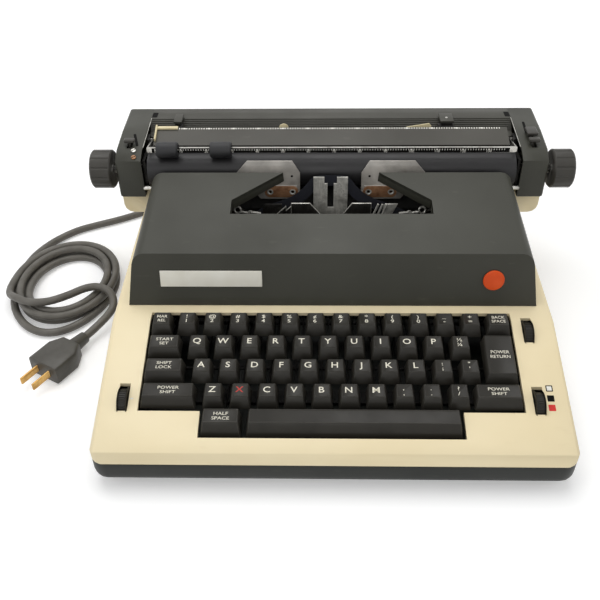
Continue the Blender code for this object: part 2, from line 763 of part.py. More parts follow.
def make_base_pan():
    """The dark tray under the shell, with its rounded lower edge."""
    top = SEAM_Z - SEAM_GAP
    pan = box("base_pan", (-BODY_HALF_WIDTH, BODY_FRONT_Y, PAN_BOTTOM_Z),
              (BODY_HALF_WIDTH, BODY_REAR_Y, top))
    round_edges(pan, along_axis(2), BODY_CORNER, 4)
    round_edges(pan, lambda a, b: max(a.z, b.z) < PAN_BOTTOM_Z + GAP, PAN_EDGE, 3)
    inside = box("inside", (-BODY_HALF_WIDTH + SHELL_WALL, BODY_FRONT_Y + SHELL_WALL,
                            PAN_BOTTOM_Z + PAN_FLOOR),
                 (BODY_HALF_WIDTH - SHELL_WALL, BODY_REAR_Y - SHELL_WALL, top + OVERRUN))
    round_edges(inside, along_axis(2), BODY_CORNER - SHELL_WALL, 4)
    round_edges(inside, lambda a, b: max(a.z, b.z) < PAN_BOTTOM_Z + PAN_FLOOR + GAP,
                PAN_EDGE - SHELL_WALL, 2)
    cut(pan, inside)
    hole = turned("exit_hole", [(0.0, OVERRUN), (RELIEF_ROOT_RADIUS + GAP, OVERRUN),
                                (RELIEF_ROOT_RADIUS + GAP, -OVERRUN), (0.0, -OVERRUN)],
                  RELIEF_STEPS, "Y", (CORD_EXIT_X, BODY_REAR_Y, CORD_EXIT_Z))
    cut(pan, hole)
    return finish(pan, "base_dark")


def make_feet():
    """Four rubber feet under the corners of the pan."""
    profile = [(0.0, PAN_BOTTOM_Z - GAP), (FOOT_RADIUS, PAN_BOTTOM_Z - GAP),
               (FOOT_RADIUS, PAN_EDGE / 3), (FOOT_RADIUS - PAN_EDGE / 4, 0.0), (0.0, 0.0)]
    for label, side in (("left", -1), ("right", 1)):
        for end, y in (("front", FOOT_FRONT_Y), ("rear", FOOT_REAR_Y)):
            foot = turned(f"foot_{end}_{label}", profile, FOOT_STEPS, "Z", (side * FOOT_X, y, 0.0))
            finish(foot, "rubber")


def shelf_height(y):
    """Height of the shell's upper face under the cover, at a place along Y."""
    slope = (SIDE_DECK_Z - DECK_BACK_Z) / (SIDE_DECK_Y - DECK_BACK_Y)
    return DECK_BACK_Z + (y - DECK_BACK_Y) * slope


def cover_outline(inset):
    """Side view of the top cover, or of its hollow when inset is a wall."""
    low = shelf_height(COVER_FRONT_Y) if inset == 0.0 else SEAM_Z
    rear = COVER_REAR_Y + (OVERRUN if inset else 0.0)
    rear_low = SEAM_Z
    slope = (COVER_REAR_Z - COVER_CREASE_Z) / (COVER_REAR_Y - COVER_CREASE_Y)
    return [
        (COVER_FRONT_Y + inset, low),
        (COVER_CREASE_Y + inset, COVER_CREASE_Z - inset),
        (rear, COVER_CREASE_Z + (rear - COVER_CREASE_Y) * slope - inset),
        (rear, rear_low),
    ]


def draft_sides(target, inset):
    """Lean the side walls of the cover inwards towards the top."""
    low = shelf_height(COVER_FRONT_Y)
    lean = (COVER_BOTTOM_HALF_WIDTH - COVER_TOP_HALF_WIDTH) / (COVER_CREASE_Z - low)
    for vertex in target.data.vertices:
        half = COVER_BOTTOM_HALF_WIDTH - (vertex.co.z - low) * lean - inset
        vertex.co.x = math.copysign(half, vertex.co.x)


def make_top_cover():
    """The dark cover over the type basket, with its opening at the print point."""
    cover = outline("top_cover", cover_outline(0.0), -COVER_BOTTOM_HALF_WIDTH,
                    COVER_BOTTOM_HALF_WIDTH, SIDE_VIEW)
    draft_sides(cover, 0.0)
    hollow = outline("hollow", cover_outline(COVER_WALL), -COVER_BOTTOM_HALF_WIDTH,
                     COVER_BOTTOM_HALF_WIDTH, SIDE_VIEW)
    draft_sides(hollow, COVER_WALL)

    def side_edge(a, b):
        return abs(a.y - b.y) > GAP and min(a.z, b.z) > COVER_CREASE_Z - COVER_WALL - GAP

    round_edges(cover, side_edge, COVER_SIDE_ROUND, 4)
    round_edges(hollow, side_edge, COVER_SIDE_ROUND - COVER_WALL, 3)
    cut(cover, hollow)
    front = COVER_FRONT_Y - OVERRUN
    trim = outline("deck_trim", [
        (front, SEAM_Z - OVERRUN), (front, shelf_height(front) + GAP), (SIDE_DECK_Y, SIDE_DECK_Z + GAP),
        (BED_FRONT_Y, SHELF_Z + GAP), (BED_FRONT_Y, SEAM_Z - OVERRUN)],
        -BED_WING_HALF_WIDTH, BED_WING_HALF_WIDTH, SIDE_VIEW)
    cut(cover, trim)
    opening = outline("opening", [
        (-OPENING_FRONT_HALF_WIDTH, OPENING_FRONT_Y), (OPENING_FRONT_HALF_WIDTH, OPENING_FRONT_Y),
        (OPENING_FRONT_HALF_WIDTH, OPENING_SIDE_Y),
        (OPENING_REAR_HALF_WIDTH, COVER_REAR_Y), (OPENING_REAR_HALF_WIDTH, COVER_REAR_Y + OVERRUN),
        (-OPENING_REAR_HALF_WIDTH, COVER_REAR_Y + OVERRUN), (-OPENING_REAR_HALF_WIDTH, COVER_REAR_Y),
        (-OPENING_FRONT_HALF_WIDTH, OPENING_SIDE_Y)],
        SHELF_Z + OVERRUN, COVER_REAR_Z + OVERRUN, TOP_VIEW)
    cut(cover, opening)
    return finish(cover, "cover_green")


def cover_face_y(z):
    """Place along Y of the cover's leaning front face at a height."""
    low = shelf_height(COVER_FRONT_Y)
    share = (z - low) / (COVER_CREASE_Z - low)
    return COVER_FRONT_Y + share * (COVER_CREASE_Y - COVER_FRONT_Y)


def make_nameplate_and_badge():
    """The bare nameplate and the plain round badge on the cover's front face."""
    low = shelf_height(COVER_FRONT_Y)
    lean = math.atan2(COVER_CREASE_Y - COVER_FRONT_Y, COVER_CREASE_Z - low)
    half = NAMEPLATE_THICKNESS / 2
    plate = box("nameplate", (-NAMEPLATE_LENGTH / 2, -half, -NAMEPLATE_HEIGHT / 2),
                (NAMEPLATE_LENGTH / 2, half, NAMEPLATE_HEIGHT / 2))
    bevel(plate, NAMEPLATE_THICKNESS / 4)
    finish(plate, "chrome_plate")
    plate.rotation_euler = (-lean, 0.0, 0.0)
    out = half + GAP
    plate.location = (NAMEPLATE_X, cover_face_y(NAMEPLATE_Z) - out * math.cos(lean),
                      NAMEPLATE_Z + out * math.sin(lean))
    rim = BADGE_THICKNESS / 3
    badge = turned("badge", [(0.0, BADGE_THICKNESS), (BADGE_RADIUS - rim, BADGE_THICKNESS),
                             (BADGE_RADIUS, BADGE_THICKNESS - rim), (BADGE_RADIUS, 0.0), (0.0, 0.0)],
                   WHEEL_STEPS, "Z")
    finish(badge, "orange")
    badge.rotation_euler = (math.radians(90.0) - lean, 0.0, 0.0)
    badge.location = (BADGE_X, cover_face_y(BADGE_Z) - GAP * math.cos(lean),
                      BADGE_Z + GAP * math.sin(lean))


def rod(name, y, z, low_x, high_x, radius, steps=ROD_STEPS):
    """A round rod along X."""
    return turned(name, [(0.0, high_x), (radius, high_x), (radius, low_x), (0.0, low_x)],
                  steps, "X", (0.0, y, z))


def make_chassis():
    """Steel side plates, cross bars, fixed rods, spool shelves and wheel pins."""
    def side_plate(name, inner, outer):
        return outline(name, [
            (CHASSIS_FRONT_Y, CHASSIS_BOTTOM_Z), (CHASSIS_FRONT_Y, CHASSIS_FRONT_TOP_Z),
            (CHASSIS_STEP_Y - OVERRUN, CHASSIS_FRONT_TOP_Z), (CHASSIS_STEP_Y, CHASSIS_MIDDLE_TOP_Z),
            (MAIN_OPENING_FRONT_Y, CHASSIS_MIDDLE_TOP_Z),
            (MAIN_OPENING_FRONT_Y + OVERRUN, SPOOL_SHELF_Z),
            (MAIN_OPENING_REAR_Y - 2 * OVERRUN, SPOOL_SHELF_Z),
            (MAIN_OPENING_REAR_Y - OVERRUN, SPOOL_SHELF_Z - OVERRUN),
            (BED_FRONT_Y + OVERRUN, SPOOL_SHELF_Z - OVERRUN),
            (CHASSIS_RAIL_FRONT_Y, CHASSIS_RAIL_TOP_Z), (CHASSIS_REAR_Y, CHASSIS_RAIL_TOP_Z),
            (CHASSIS_REAR_Y, CHASSIS_BOTTOM_Z)], inner, outer, SIDE_VIEW)

    inner_x = CHASSIS_HALF_WIDTH - 2 * SHEET
    chassis = side_plate("chassis", inner_x, CHASSIS_HALF_WIDTH)
    join(chassis, box("floor_bar", (-CHASSIS_HALF_WIDTH + SHEET, FLOOR_BAR_FRONT_Y, CHASSIS_BOTTOM_Z),
                      (CHASSIS_HALF_WIDTH - SHEET, FLOOR_BAR_FRONT_Y + FLOOR_BAR_DEPTH,
                       CHASSIS_BOTTOM_Z + 2 * SHEET)))
    join(chassis, side_plate("left_plate", -CHASSIS_HALF_WIDTH, -inner_x))
    join(chassis, box("cross", (-CHASSIS_HALF_WIDTH + SHEET, CROSS_FRONT_Y, CROSS_BOTTOM_Z),
                      (CHASSIS_HALF_WIDTH - SHEET, CROSS_REAR_Y, CROSS_TOP_Z)))
    join(chassis, box("rear_bar", (-CHASSIS_HALF_WIDTH + SHEET, RAIL_FRONT_Y, RAIL_BRACKET_TOP_Z
                                   - KEY_STEM_DEPTH),
                      (CHASSIS_HALF_WIDTH - SHEET, RAIL_REAR_Y, RAIL_BRACKET_TOP_Z)))
    join(chassis, rod("space_rod", SPACE_ROD_Y, SPACE_ROD_Z, -CHASSIS_HALF_WIDTH + SHEET,
                      CHASSIS_HALF_WIDTH - SHEET, ROD_RADIUS))
    for side in (-1, 1):
        ends = sorted((side * SIDE_ROD_INNER_X, side * (CHASSIS_HALF_WIDTH - SHEET)))
        join(chassis, rod("side_rod", SIDE_ROD_Y, SIDE_ROD_Z, *ends, ROD_RADIUS))
        shelf_x = sorted((side * (SPOOL_X - SPINDLE_RADIUS - SPOOL_FLANGE),
                          side * (CHASSIS_HALF_WIDTH - SHEET)))
        join(chassis, box("shelf", (shelf_x[0], SPOOL_Y - SPOOL_SHELF_LENGTH / 2,
                                    SPOOL_SHELF_Z - 2 * SHEET),
                          (shelf_x[1], SPOOL_Y + SPOOL_SHELF_LENGTH / 2, SPOOL_SHELF_Z)))
        spindle = turned("spindle", [
            (0.0, SPOOL_SHELF_Z + SPOOL_HEIGHT), (SPINDLE_RADIUS, SPOOL_SHELF_Z + SPOOL_HEIGHT),
            (SPINDLE_RADIUS, SPOOL_SHELF_Z - SHEET), (0.0, SPOOL_SHELF_Z - SHEET)],
            ROD_STEPS, "Z", (side * SPOOL_X, SPOOL_Y, 0.0))
        join(chassis, spindle)
        for level in range(4):
            hole = rod("hole", ROD_Y, ROD_LOW_Z + level * ROD_PITCH,
                       side * CHASSIS_HALF_WIDTH - OVERRUN, side * CHASSIS_HALF_WIDTH + OVERRUN,
                       ROD_RADIUS + GAP)
            cut(chassis, hole)
        for z, y, radius in ((ROLL_Z, ROLL_Y, DRIVE_SHAFT_RADIUS),):
            cut(chassis, rod("shaft_hole", y, z, side * CHASSIS_HALF_WIDTH - OVERRUN,
                             side * CHASSIS_HALF_WIDTH + OVERRUN, radius + GAP))
    for x, y in ((LEFT_WHEEL_X, LEFT_WHEEL_Y), (UPPER_WHEEL_X, UPPER_WHEEL_Y),
                 (LOWER_WHEEL_X, LOWER_WHEEL_Y)):
        side = math.copysign(1.0, x)
        ends = sorted((side * (CHASSIS_HALF_WIDTH - SHEET), x + side * WHEEL_HALF_WIDTH))
        pin = rod("wheel_pin", y, deck_height(y) - WHEEL_SINK, *ends, WHEEL_PIN_RADIUS)
        sides = sorted((side * (inner_x + GAP), side * (CHASSIS_HALF_WIDTH - GAP)))
        post = box("pin_post", (sides[0], y - WHEEL_BORE, CHASSIS_BOTTOM_Z + SHEET),
                   (sides[1], y + WHEEL_BORE, deck_height(y) - WHEEL_SINK + WHEEL_PIN_RADIUS + GAP))
        join(chassis, post)
        join(chassis, pin)
    return finish(chassis, "steel")


def basket_frame():
    """Axis direction, in-plane rearward direction, print point and arc centre of the basket."""
    axis = Vector((0.0, math.sin(BASKET_LEAN), math.cos(BASKET_LEAN)))
    rearward = Vector((0.0, math.cos(BASKET_LEAN), -math.sin(BASKET_LEAN)))
    strike = Vector((0.0, PLATEN_Y - PLATEN_RADIUS - GAP - GAP, PLATEN_Z))
    centre = strike - axis * SEGMENT_DEPTH
    return axis, rearward, strike, centre


def bar_length():
    """Length of a bar from its pivot, so that its slug's middle reaches the print point."""
    return math.hypot(SEGMENT_PIVOT_RADIUS, SEGMENT_DEPTH) + SLUG_LENGTH / 2


def bar_angle(index):
    """Angle of a type bar round the basket's axis, 0 at the middle front."""
    return -BASKET_HALF_FAN + 2 * BASKET_HALF_FAN * index / (TYPE_BARS - 1)


def bar_matrix(index):
    """Placement of a type bar: its length along local X and its hinge along local Y."""
    axis, rearward, _, centre = basket_frame()
    angle = bar_angle(index)
    outward = Vector((1.0, 0.0, 0.0)) * math.sin(angle) - rearward * math.cos(angle)
    pivot = centre + outward * SEGMENT_PIVOT_RADIUS
    along = outward * math.cos(BASKET_REST) + axis * math.sin(BASKET_REST)
    hinge = axis.cross(outward)
    up = along.cross(hinge)
    frame = Matrix((along, hinge, up)).transposed().to_4x4()
    return Matrix.Translation(pivot) @ frame


def type_bar_solid(name, index, root):
    """One tapered type bar with its slug, as a loft of box sections along local X."""
    length = bar_length()
    sections = ((-root, BAR_THICKNESS, BAR_ROOT_HEIGHT),
                (length / 3, BAR_THICKNESS, BAR_ROOT_HEIGHT),
                (length - SLUG_LENGTH, BAR_THICKNESS, BAR_TIP_HEIGHT),
                (length - SLUG_LENGTH + GAP, SLUG_WIDTH, SLUG_HEIGHT),
                (length, SLUG_WIDTH, SLUG_HEIGHT))
    bm = bmesh.new()
    rings = []
    for along, width, height in sections:
        ring = [bm.verts.new((along, sx * width / 2, sz * height / 2))
                for sx, sz in ((-1, -1), (1, -1), (1, 1), (-1, 1))]
        rings.append(ring)
    for first, second in zip(rings, rings[1:]):
        for i in range(4):
            bm.faces.new((first[i], first[(i + 1) % 4], second[(i + 1) % 4], second[i]))
    bm.faces.new(rings[0])
    bm.faces.new(rings[-1])
    bmesh.ops.transform(bm, matrix=bar_matrix(index), verts=bm.verts)
    return add_object(name, mesh_from(name, bm), PARTS)


def make_type_segment():
    """The slotted segment with the resting type bars fanned out round it."""
    axis, rearward, _, centre = basket_frame()
    inner, outer = SEGMENT_INNER_RADIUS, SEGMENT_OUTER_RADIUS
    points = []
    for radius, order in ((outer, range(SEGMENT_STEPS + 1)), (inner, range(SEGMENT_STEPS, -1, -1))):
        for step in order:
            angle = -SEGMENT_END_ANGLE + 2 * SEGMENT_END_ANGLE * step / SEGMENT_STEPS
            points.append((radius * math.sin(angle), -radius * math.cos(angle)))
    segment = outline("type_segment", points, -SEGMENT_HALF_THICKNESS, SEGMENT_HALF_THICKNESS,
                      TOP_VIEW)
    turn = Matrix((Vector((1.0, 0.0, 0.0)), rearward, axis)).transposed().to_4x4()
    segment.data.transform(Matrix.Translation(centre) @ turn)
    for index in range(TYPE_BARS):
        if index != MOVING_BAR:
            join(segment, type_bar_solid("bar", index, 0.0))
    slot_root = BAR_ROOT_HEIGHT / 2 + 2 * RUNNING_GAP
    slot = box("bar_slot", (-slot_root, -BAR_SLOT_WIDTH / 2, -SEGMENT_OUTER_RADIUS),
               (SEGMENT_OUTER_RADIUS, BAR_SLOT_WIDTH / 2, SEGMENT_OUTER_RADIUS))
    outward = bar_matrix(MOVING_BAR)
    flat = outward @ Matrix.Rotation(BASKET_REST, 4, "Y")
    slot.data.transform(flat)
    cut(segment, slot)
    relief_half = BAR_ROOT_HEIGHT / 2 + RUNNING_GAP
    relief = box("bar_relief", (0.0, -BAR_SLOT_WIDTH / 2, -relief_half),
                 (SEGMENT_OUTER_RADIUS, BAR_SLOT_WIDTH / 2, relief_half))
    relief.data.transform(outward @ Matrix.Rotation(-BAR_SWING, 4, "Y"))
    cut(segment, relief)
    join(segment, box("foot", (-SEGMENT_FOOT_HALF_WIDTH, SEGMENT_FOOT_FRONT_Y, CROSS_TOP_Z + GAP),
                      (SEGMENT_FOOT_HALF_WIDTH, SEGMENT_FOOT_REAR_Y, SEGMENT_FOOT_TOP_Z)))
    join(segment, box("guide_step", (-GUIDE_STEP_HALF_WIDTH, GUIDE_STEP_FRONT_Y, GUIDE_STEP_BOTTOM_Z),
                      (GUIDE_STEP_HALF_WIDTH, SEGMENT_FOOT_FRONT_Y + OVERRUN, GUIDE_STEP_TOP_Z)))
    return finish(segment, "bright_steel")


def make_type_bar():
    """The one type bar that swings, in its slot near the middle of the segment."""
    bar = type_bar_solid("type_bar", MOVING_BAR, BAR_ROOT_HEIGHT / 2)
    pivot = bar_matrix(MOVING_BAR).translation
    return finish(bar, "bright_steel", pivot)


def make_type_guide():
    """The forked plate that centres each type bar at the print point."""
    guide = outline("type_guide", [
        (-TYPE_GUIDE_HALF_WIDTH, GUIDE_STEP_TOP_Z + GAP), (TYPE_GUIDE_HALF_WIDTH, GUIDE_STEP_TOP_Z + GAP),
        (TYPE_GUIDE_HALF_WIDTH, TYPE_GUIDE_TOP_Z), (TYPE_GUIDE_MOUTH_HALF_WIDTH, TYPE_GUIDE_TOP_Z),
        (TYPE_GUIDE_MOUTH_HALF_WIDTH, TYPE_GUIDE_MOUTH_Z),
        (TYPE_GUIDE_SLOT_HALF_WIDTH, TYPE_GUIDE_MOUTH_Z),
        (TYPE_GUIDE_SLOT_HALF_WIDTH, TYPE_GUIDE_SLOT_Z),
        (-TYPE_GUIDE_SLOT_HALF_WIDTH, TYPE_GUIDE_SLOT_Z),
        (-TYPE_GUIDE_SLOT_HALF_WIDTH, TYPE_GUIDE_MOUTH_Z),
        (-TYPE_GUIDE_MOUTH_HALF_WIDTH, TYPE_GUIDE_MOUTH_Z),
        (-TYPE_GUIDE_MOUTH_HALF_WIDTH, TYPE_GUIDE_TOP_Z), (-TYPE_GUIDE_HALF_WIDTH, TYPE_GUIDE_TOP_Z)],
        TYPE_GUIDE_Y, TYPE_GUIDE_Y + SHEET, FRONT_VIEW)
    return finish(guide, "bright_steel")


def make_card_holders():
    """The two smoked plates that hold the paper to the platen, with their copper clamps."""
    for label, side in (("left", -1), ("right", 1)):
        points = [(HOLDER_INNER_X, HOLDER_BOTTOM_Z), (HOLDER_INNER_X, HOLDER_SHOULDER_Z),
                  (HOLDER_TOP_INNER_X, HOLDER_TOP_Z), (HOLDER_TOP_OUTER_X, HOLDER_TOP_Z),
                  (HOLDER_OUTER_X, HOLDER_SHOULDER_Z), (HOLDER_LOWER_OUTER_X, HOLDER_BOTTOM_Z)]
        holder = outline("card_holder_" + label, [(side * x, z) for x, z in points],
                         HOLDER_Y, HOLDER_Y + HOLDER_SHEET, FRONT_VIEW)
        clamp_x = sorted((side * CLAMP_INNER_X, side * CLAMP_OUTER_X))
        clamp = box("clamp", (clamp_x[0], HOLDER_Y - CLAMP_SHEET, CLAMP_BOTTOM_Z),
                    (clamp_x[1], HOLDER_Y + HOLDER_SHEET / 2, CLAMP_TOP_Z))
        arm_x = sorted((side * HOLDER_ARM_INNER_X, side * HOLDER_ARM_OUTER_X))
        arm = box("arm", (arm_x[0], HOLDER_Y - CLAMP_SHEET, HOLDER_ARM_BOTTOM_Z),
                  (arm_x[1], HOLDER_Y + HOLDER_SHEET / 2, CLAMP_BOTTOM_Z + OVERRUN))
        join(holder, arm)
        join(holder, clamp)
        finish(holder, "smoke")


def make_spools():
    """Two ribbon spools on the chassis spindles, each with its wound ribbon."""
    low = SPOOL_SHELF_Z + GAP
    high = SPOOL_SHELF_Z + SPOOL_HEIGHT - SPOOL_FLANGE
    bore = SPINDLE_RADIUS + GAP
    profile = [(bore, high), (SPOOL_RADIUS, high), (SPOOL_RADIUS, high - SPOOL_FLANGE),
               (SPOOL_CORE_RADIUS, high - SPOOL_FLANGE), (SPOOL_CORE_RADIUS, low + SPOOL_FLANGE),
               (SPOOL_RADIUS, low + SPOOL_FLANGE), (SPOOL_RADIUS, low), (bore, low), (bore, high)]
    for label, side in (("left", -1), ("right", 1)):
        spool = turned("ribbon_spool_" + label, profile, WHEEL_STEPS, "Z")
        spool.data.transform(Matrix.Translation((side * SPOOL_X, SPOOL_Y, 0.0)))
        finish(spool, "rubber", (side * SPOOL_X, SPOOL_Y, low))


def make_drive():
    """Motor, its pulley, the belt and the power roll that drives the type action."""
    half = MOTOR_LENGTH / 2
    bell = MOTOR_BELL
    motor = turned("motor", [
        (0.0, half), (MOTOR_RADIUS / 2, half), (MOTOR_RADIUS - bell / 2, half - bell / 2),
        (MOTOR_RADIUS, half - bell), (MOTOR_RADIUS, -half + bell),
        (MOTOR_RADIUS - bell / 2, -half + bell / 2), (MOTOR_RADIUS / 2, -half), (0.0, -half)],
        WHEEL_STEPS, "X", (MOTOR_X, MOTOR_Y, MOTOR_Z))
    foot = box("motor_foot", (MOTOR_X - half / 2, MOTOR_Y - MOTOR_RADIUS / 2, CHASSIS_BOTTOM_Z),
               (MOTOR_X + half / 2, MOTOR_Y + MOTOR_RADIUS / 2, MOTOR_Z))
    join(motor, foot)
    bore = rod("bore", MOTOR_Y, MOTOR_Z, MOTOR_X + half - bell, MOTOR_X + half + OVERRUN,
               DRIVE_SHAFT_RADIUS + GAP)
    cut(motor, bore)
    finish(motor, "steel")
    edge = PULLEY_WIDTH / 2
    low, high = PULLEY_X - edge, PULLEY_X + edge
    shaft_end = MOTOR_X + half - bell + GAP
    pulley = turned("motor_pulley", [
        (0.0, high), (MOTOR_PULLEY_RADIUS, high), (MOTOR_PULLEY_RADIUS, low),
        (DRIVE_SHAFT_RADIUS, low), (DRIVE_SHAFT_RADIUS, shaft_end), (0.0, shaft_end)],
        ROLLER_STEPS, "X", (0.0, MOTOR_Y, MOTOR_Z))
    finish(pulley, "steel", (PULLEY_X, MOTOR_Y, MOTOR_Z))
    end = CHASSIS_HALF_WIDTH + SHEET
    roll = turned("power_roll", [
        (0.0, end), (DRIVE_SHAFT_RADIUS, end), (DRIVE_SHAFT_RADIUS, high), (ROLL_PULLEY_RADIUS, high),
        (ROLL_PULLEY_RADIUS, low), (DRIVE_SHAFT_RADIUS, low), (DRIVE_SHAFT_RADIUS, ROLL_HALF_LENGTH),
        (ROLL_RADIUS, ROLL_HALF_LENGTH), (ROLL_RADIUS, -ROLL_HALF_LENGTH),
        (DRIVE_SHAFT_RADIUS, -ROLL_HALF_LENGTH), (DRIVE_SHAFT_RADIUS, -end), (0.0, -end)],
        ROLLER_STEPS, "X", (0.0, ROLL_Y, ROLL_Z))
    finish(roll, "rubber", (PULLEY_X, ROLL_Y, ROLL_Z))
    belt = outline("drive_belt", belt_loop(BELT_THICKNESS + GAP), low + edge / 3, high - edge / 3,
                   SIDE_VIEW)
    inside = outline("belt_inside", belt_loop(GAP), low, high, SIDE_VIEW)
    cut(belt, inside)
    finish(belt, "rubber")


def belt_loop(offset):
    """Outline (Y, Z) round both pulleys at an offset from their faces."""
    start = Vector((ROLL_Y, ROLL_Z))
    end = Vector((MOTOR_Y, MOTOR_Z))
    big, small = ROLL_PULLEY_RADIUS + offset, MOTOR_PULLEY_RADIUS + offset
    span = (end - start).length
    heading = math.atan2(end.y - start.y, end.x - start.x)
    tangent = math.acos((big - small) / span)
    points = []
    for centre, radius, first, last in (
            (end, small, heading - tangent, heading + tangent),
            (start, big, heading + tangent, heading + 2 * math.pi - tangent)):
        for step in range(ROLLER_STEPS // 2 + 1):
            angle = first + (last - first) * step / (ROLLER_STEPS // 2)
            points.append((centre.x + radius * math.cos(angle), centre.y + radius * math.sin(angle)))
    return points


def make_carriage_rail():
    """The fixed steel rail that the carriage slides on."""
    rail = box("carriage_rail", (-RAIL_HALF_LENGTH, RAIL_FRONT_Y, RAIL_BRACKET_TOP_Z + GAP),
               (RAIL_HALF_LENGTH, RAIL_REAR_Y, RAIL_TOP_Z))
    return finish(rail, "bright_steel")


def make_carriage_frame():
    """The sliding frame: floor, two cheeks that carry the platen, and the rail shoes."""
    frame = box("carriage_frame", (-FRAME_HALF_WIDTH, FRAME_FRONT_Y, FRAME_BOTTOM_Z),
                (FRAME_HALF_WIDTH, FRAME_REAR_Y, FRAME_BOTTOM_Z + FRAME_FLOOR))
    for side in (-1, 1):
        ends = sorted((side * (FRAME_HALF_WIDTH - CHEEK_THICKNESS), side * FRAME_HALF_WIDTH))
        cheek = outline("cheek", [
            (CHEEK_FRONT_Y, PLATEN_Z - PLATEN_RADIUS), (CHEEK_FRONT_Y, CHEEK_TOP_Z),
            (BAIL_PIVOT_Y - BAIL_EAR, CHEEK_TOP_Z), (BAIL_PIVOT_Y - BAIL_EAR, BAIL_PIVOT_Z + BAIL_EAR / 2),
            (BAIL_PIVOT_Y + BAIL_EAR, BAIL_PIVOT_Z + BAIL_EAR / 2), (BAIL_PIVOT_Y + BAIL_EAR, CHEEK_TOP_Z),
            (FRAME_REAR_Y, CHEEK_TOP_Z), (FRAME_REAR_Y, FRAME_BOTTOM_Z),
            (FRAME_FRONT_Y, FRAME_BOTTOM_Z)], ends[0], ends[1], SIDE_VIEW)
        join(frame, cheek)
        hole = rod("shaft_hole", PLATEN_Y, PLATEN_Z, ends[0] - OVERRUN, ends[1] + OVERRUN,
                   PLATEN_SHAFT_RADIUS + GAP, ROLLER_STEPS)
        cut(frame, hole)
        cut(frame, rod("bail_hole", BAIL_PIVOT_Y, BAIL_PIVOT_Z, ends[0] - OVERRUN, ends[1] + OVERRUN,
                       BAIL_PIN_RADIUS + GAP))
    for low, high in ((RAIL_FRONT_Y - RUNNING_GAP - SHOE_THICKNESS, RAIL_FRONT_Y - RUNNING_GAP),
                      (RAIL_REAR_Y + RUNNING_GAP, RAIL_REAR_Y + RUNNING_GAP + SHOE_THICKNESS)):
        join(frame, box("shoe", (-SHOE_HALF_LENGTH, low, FRAME_BOTTOM_Z - SHOE_DROP),
                        (SHOE_HALF_LENGTH, high, FRAME_BOTTOM_Z + FRAME_FLOOR / 2)))
    return finish(frame, "steel")


def make_carriage_cover():
    """The dark skin behind the paper table, with the trough for the margin stops."""
    points = [
        (TROUGH_FRONT_Y, TROUGH_Z), (TROUGH_Y, TROUGH_Z), (CARRIAGE_STRIP_Y, CARRIAGE_TOP_Z),
        (CARRIAGE_REAR_TOP_Y, CARRIAGE_TOP_Z), (CARRIAGE_REAR_Y - GAP, CARRIAGE_REAR_SHOULDER_Z),
        (CARRIAGE_REAR_Y, CAP_BOTTOM_Z + SKIN), (CARRIAGE_REAR_Y - SKIN, CAP_BOTTOM_Z + SKIN),
        (CARRIAGE_REAR_Y - SKIN, CARRIAGE_REAR_SHOULDER_Z - SKIN / 3),
        (CARRIAGE_REAR_TOP_Y - SKIN / 2, CARRIAGE_TOP_Z - SKIN),
        (CARRIAGE_STRIP_Y + SKIN / 3, CARRIAGE_TOP_Z - SKIN), (TROUGH_Y + SKIN / 3, TROUGH_Z - SKIN),
        (TROUGH_FRONT_Y, TROUGH_Z - SKIN)]
    skin = outline("carriage_cover", points, -CAP_INNER_X + GAP, CAP_INNER_X - GAP, SIDE_VIEW)
    return finish(skin, "cover_green")


def cap_outline(inset):
    """Side view of an end cap, or of its hollow when inset is a wall."""
    return [
        (CAP_FRONT_Y + inset, CAP_BOTTOM_Z + inset), (CAP_FRONT_Y + inset, CAP_NOSE_Z - inset / 2),
        (CAP_BROW_Y, CAP_BROW_Z - inset), (TABLE_TOP_Y, TABLE_TOP_Z - SKIN - inset),
        (CARRIAGE_REAR_TOP_Y, CARRIAGE_TOP_Z - inset),
        (CARRIAGE_REAR_Y - inset, CARRIAGE_REAR_SHOULDER_Z - inset / 2),
        (CARRIAGE_REAR_Y - inset, CAP_BOTTOM_Z + inset)]


def cap_top(y):
    """Height of the cap's upper face between its brow and its rear."""
    share = (y - CAP_BROW_Y) / (TABLE_TOP_Y - CAP_BROW_Y)
    return CAP_BROW_Z + share * (TABLE_TOP_Z - SKIN - CAP_BROW_Z)


def make_end_cap(label, side):
    """One carriage end cap, hollow towards the platen, with slots for its levers.

    The cap is made for the right end, and turned over for the left one.
    """
    inner, outer = CAP_INNER_X, CARRIAGE_HALF_WIDTH
    cap = outline("end_cap_" + label, cap_outline(0.0), inner, outer, SIDE_VIEW)
    round_edges(cap, lambda a, b: min(a.x, b.x) > outer - GAP, CAP_EDGE, 2)
    cut(cap, outline("hollow", cap_outline(CAP_WALL), inner - OVERRUN, outer - CAP_WALL, SIDE_VIEW))
    cut(cap, rod("shaft_hole", PLATEN_Y, PLATEN_Z, outer - OVERRUN, outer + OVERRUN,
                 PLATEN_SHAFT_RADIUS + RUNNING_GAP, ROLLER_STEPS))
    for low, high in lever_slots(side):
        width = LEVER_WIDTH / 2 + RUNNING_GAP
        cut(cap, box("slot", (LEVER_X - width, low, CAP_BROW_Z - OVERRUN - CAP_WALL),
                     (LEVER_X + width, high, CARRIAGE_TOP_Z + OVERRUN)))
    join(cap, rod("lever_pin", LEVER_PIVOT_Y, LEVER_PIVOT_Z, LEVER_X - LEVER_WIDTH - WHEEL_HALF_WIDTH,
                  outer - CAP_WALL / 2, LEVER_PIN_RADIUS))
    if side < 0:
        cap.data.transform(Matrix.Scale(-1.0, 4, (1.0, 0.0, 0.0)))
        cap.data.flip_normals()
    return finish(cap, "cover_green")


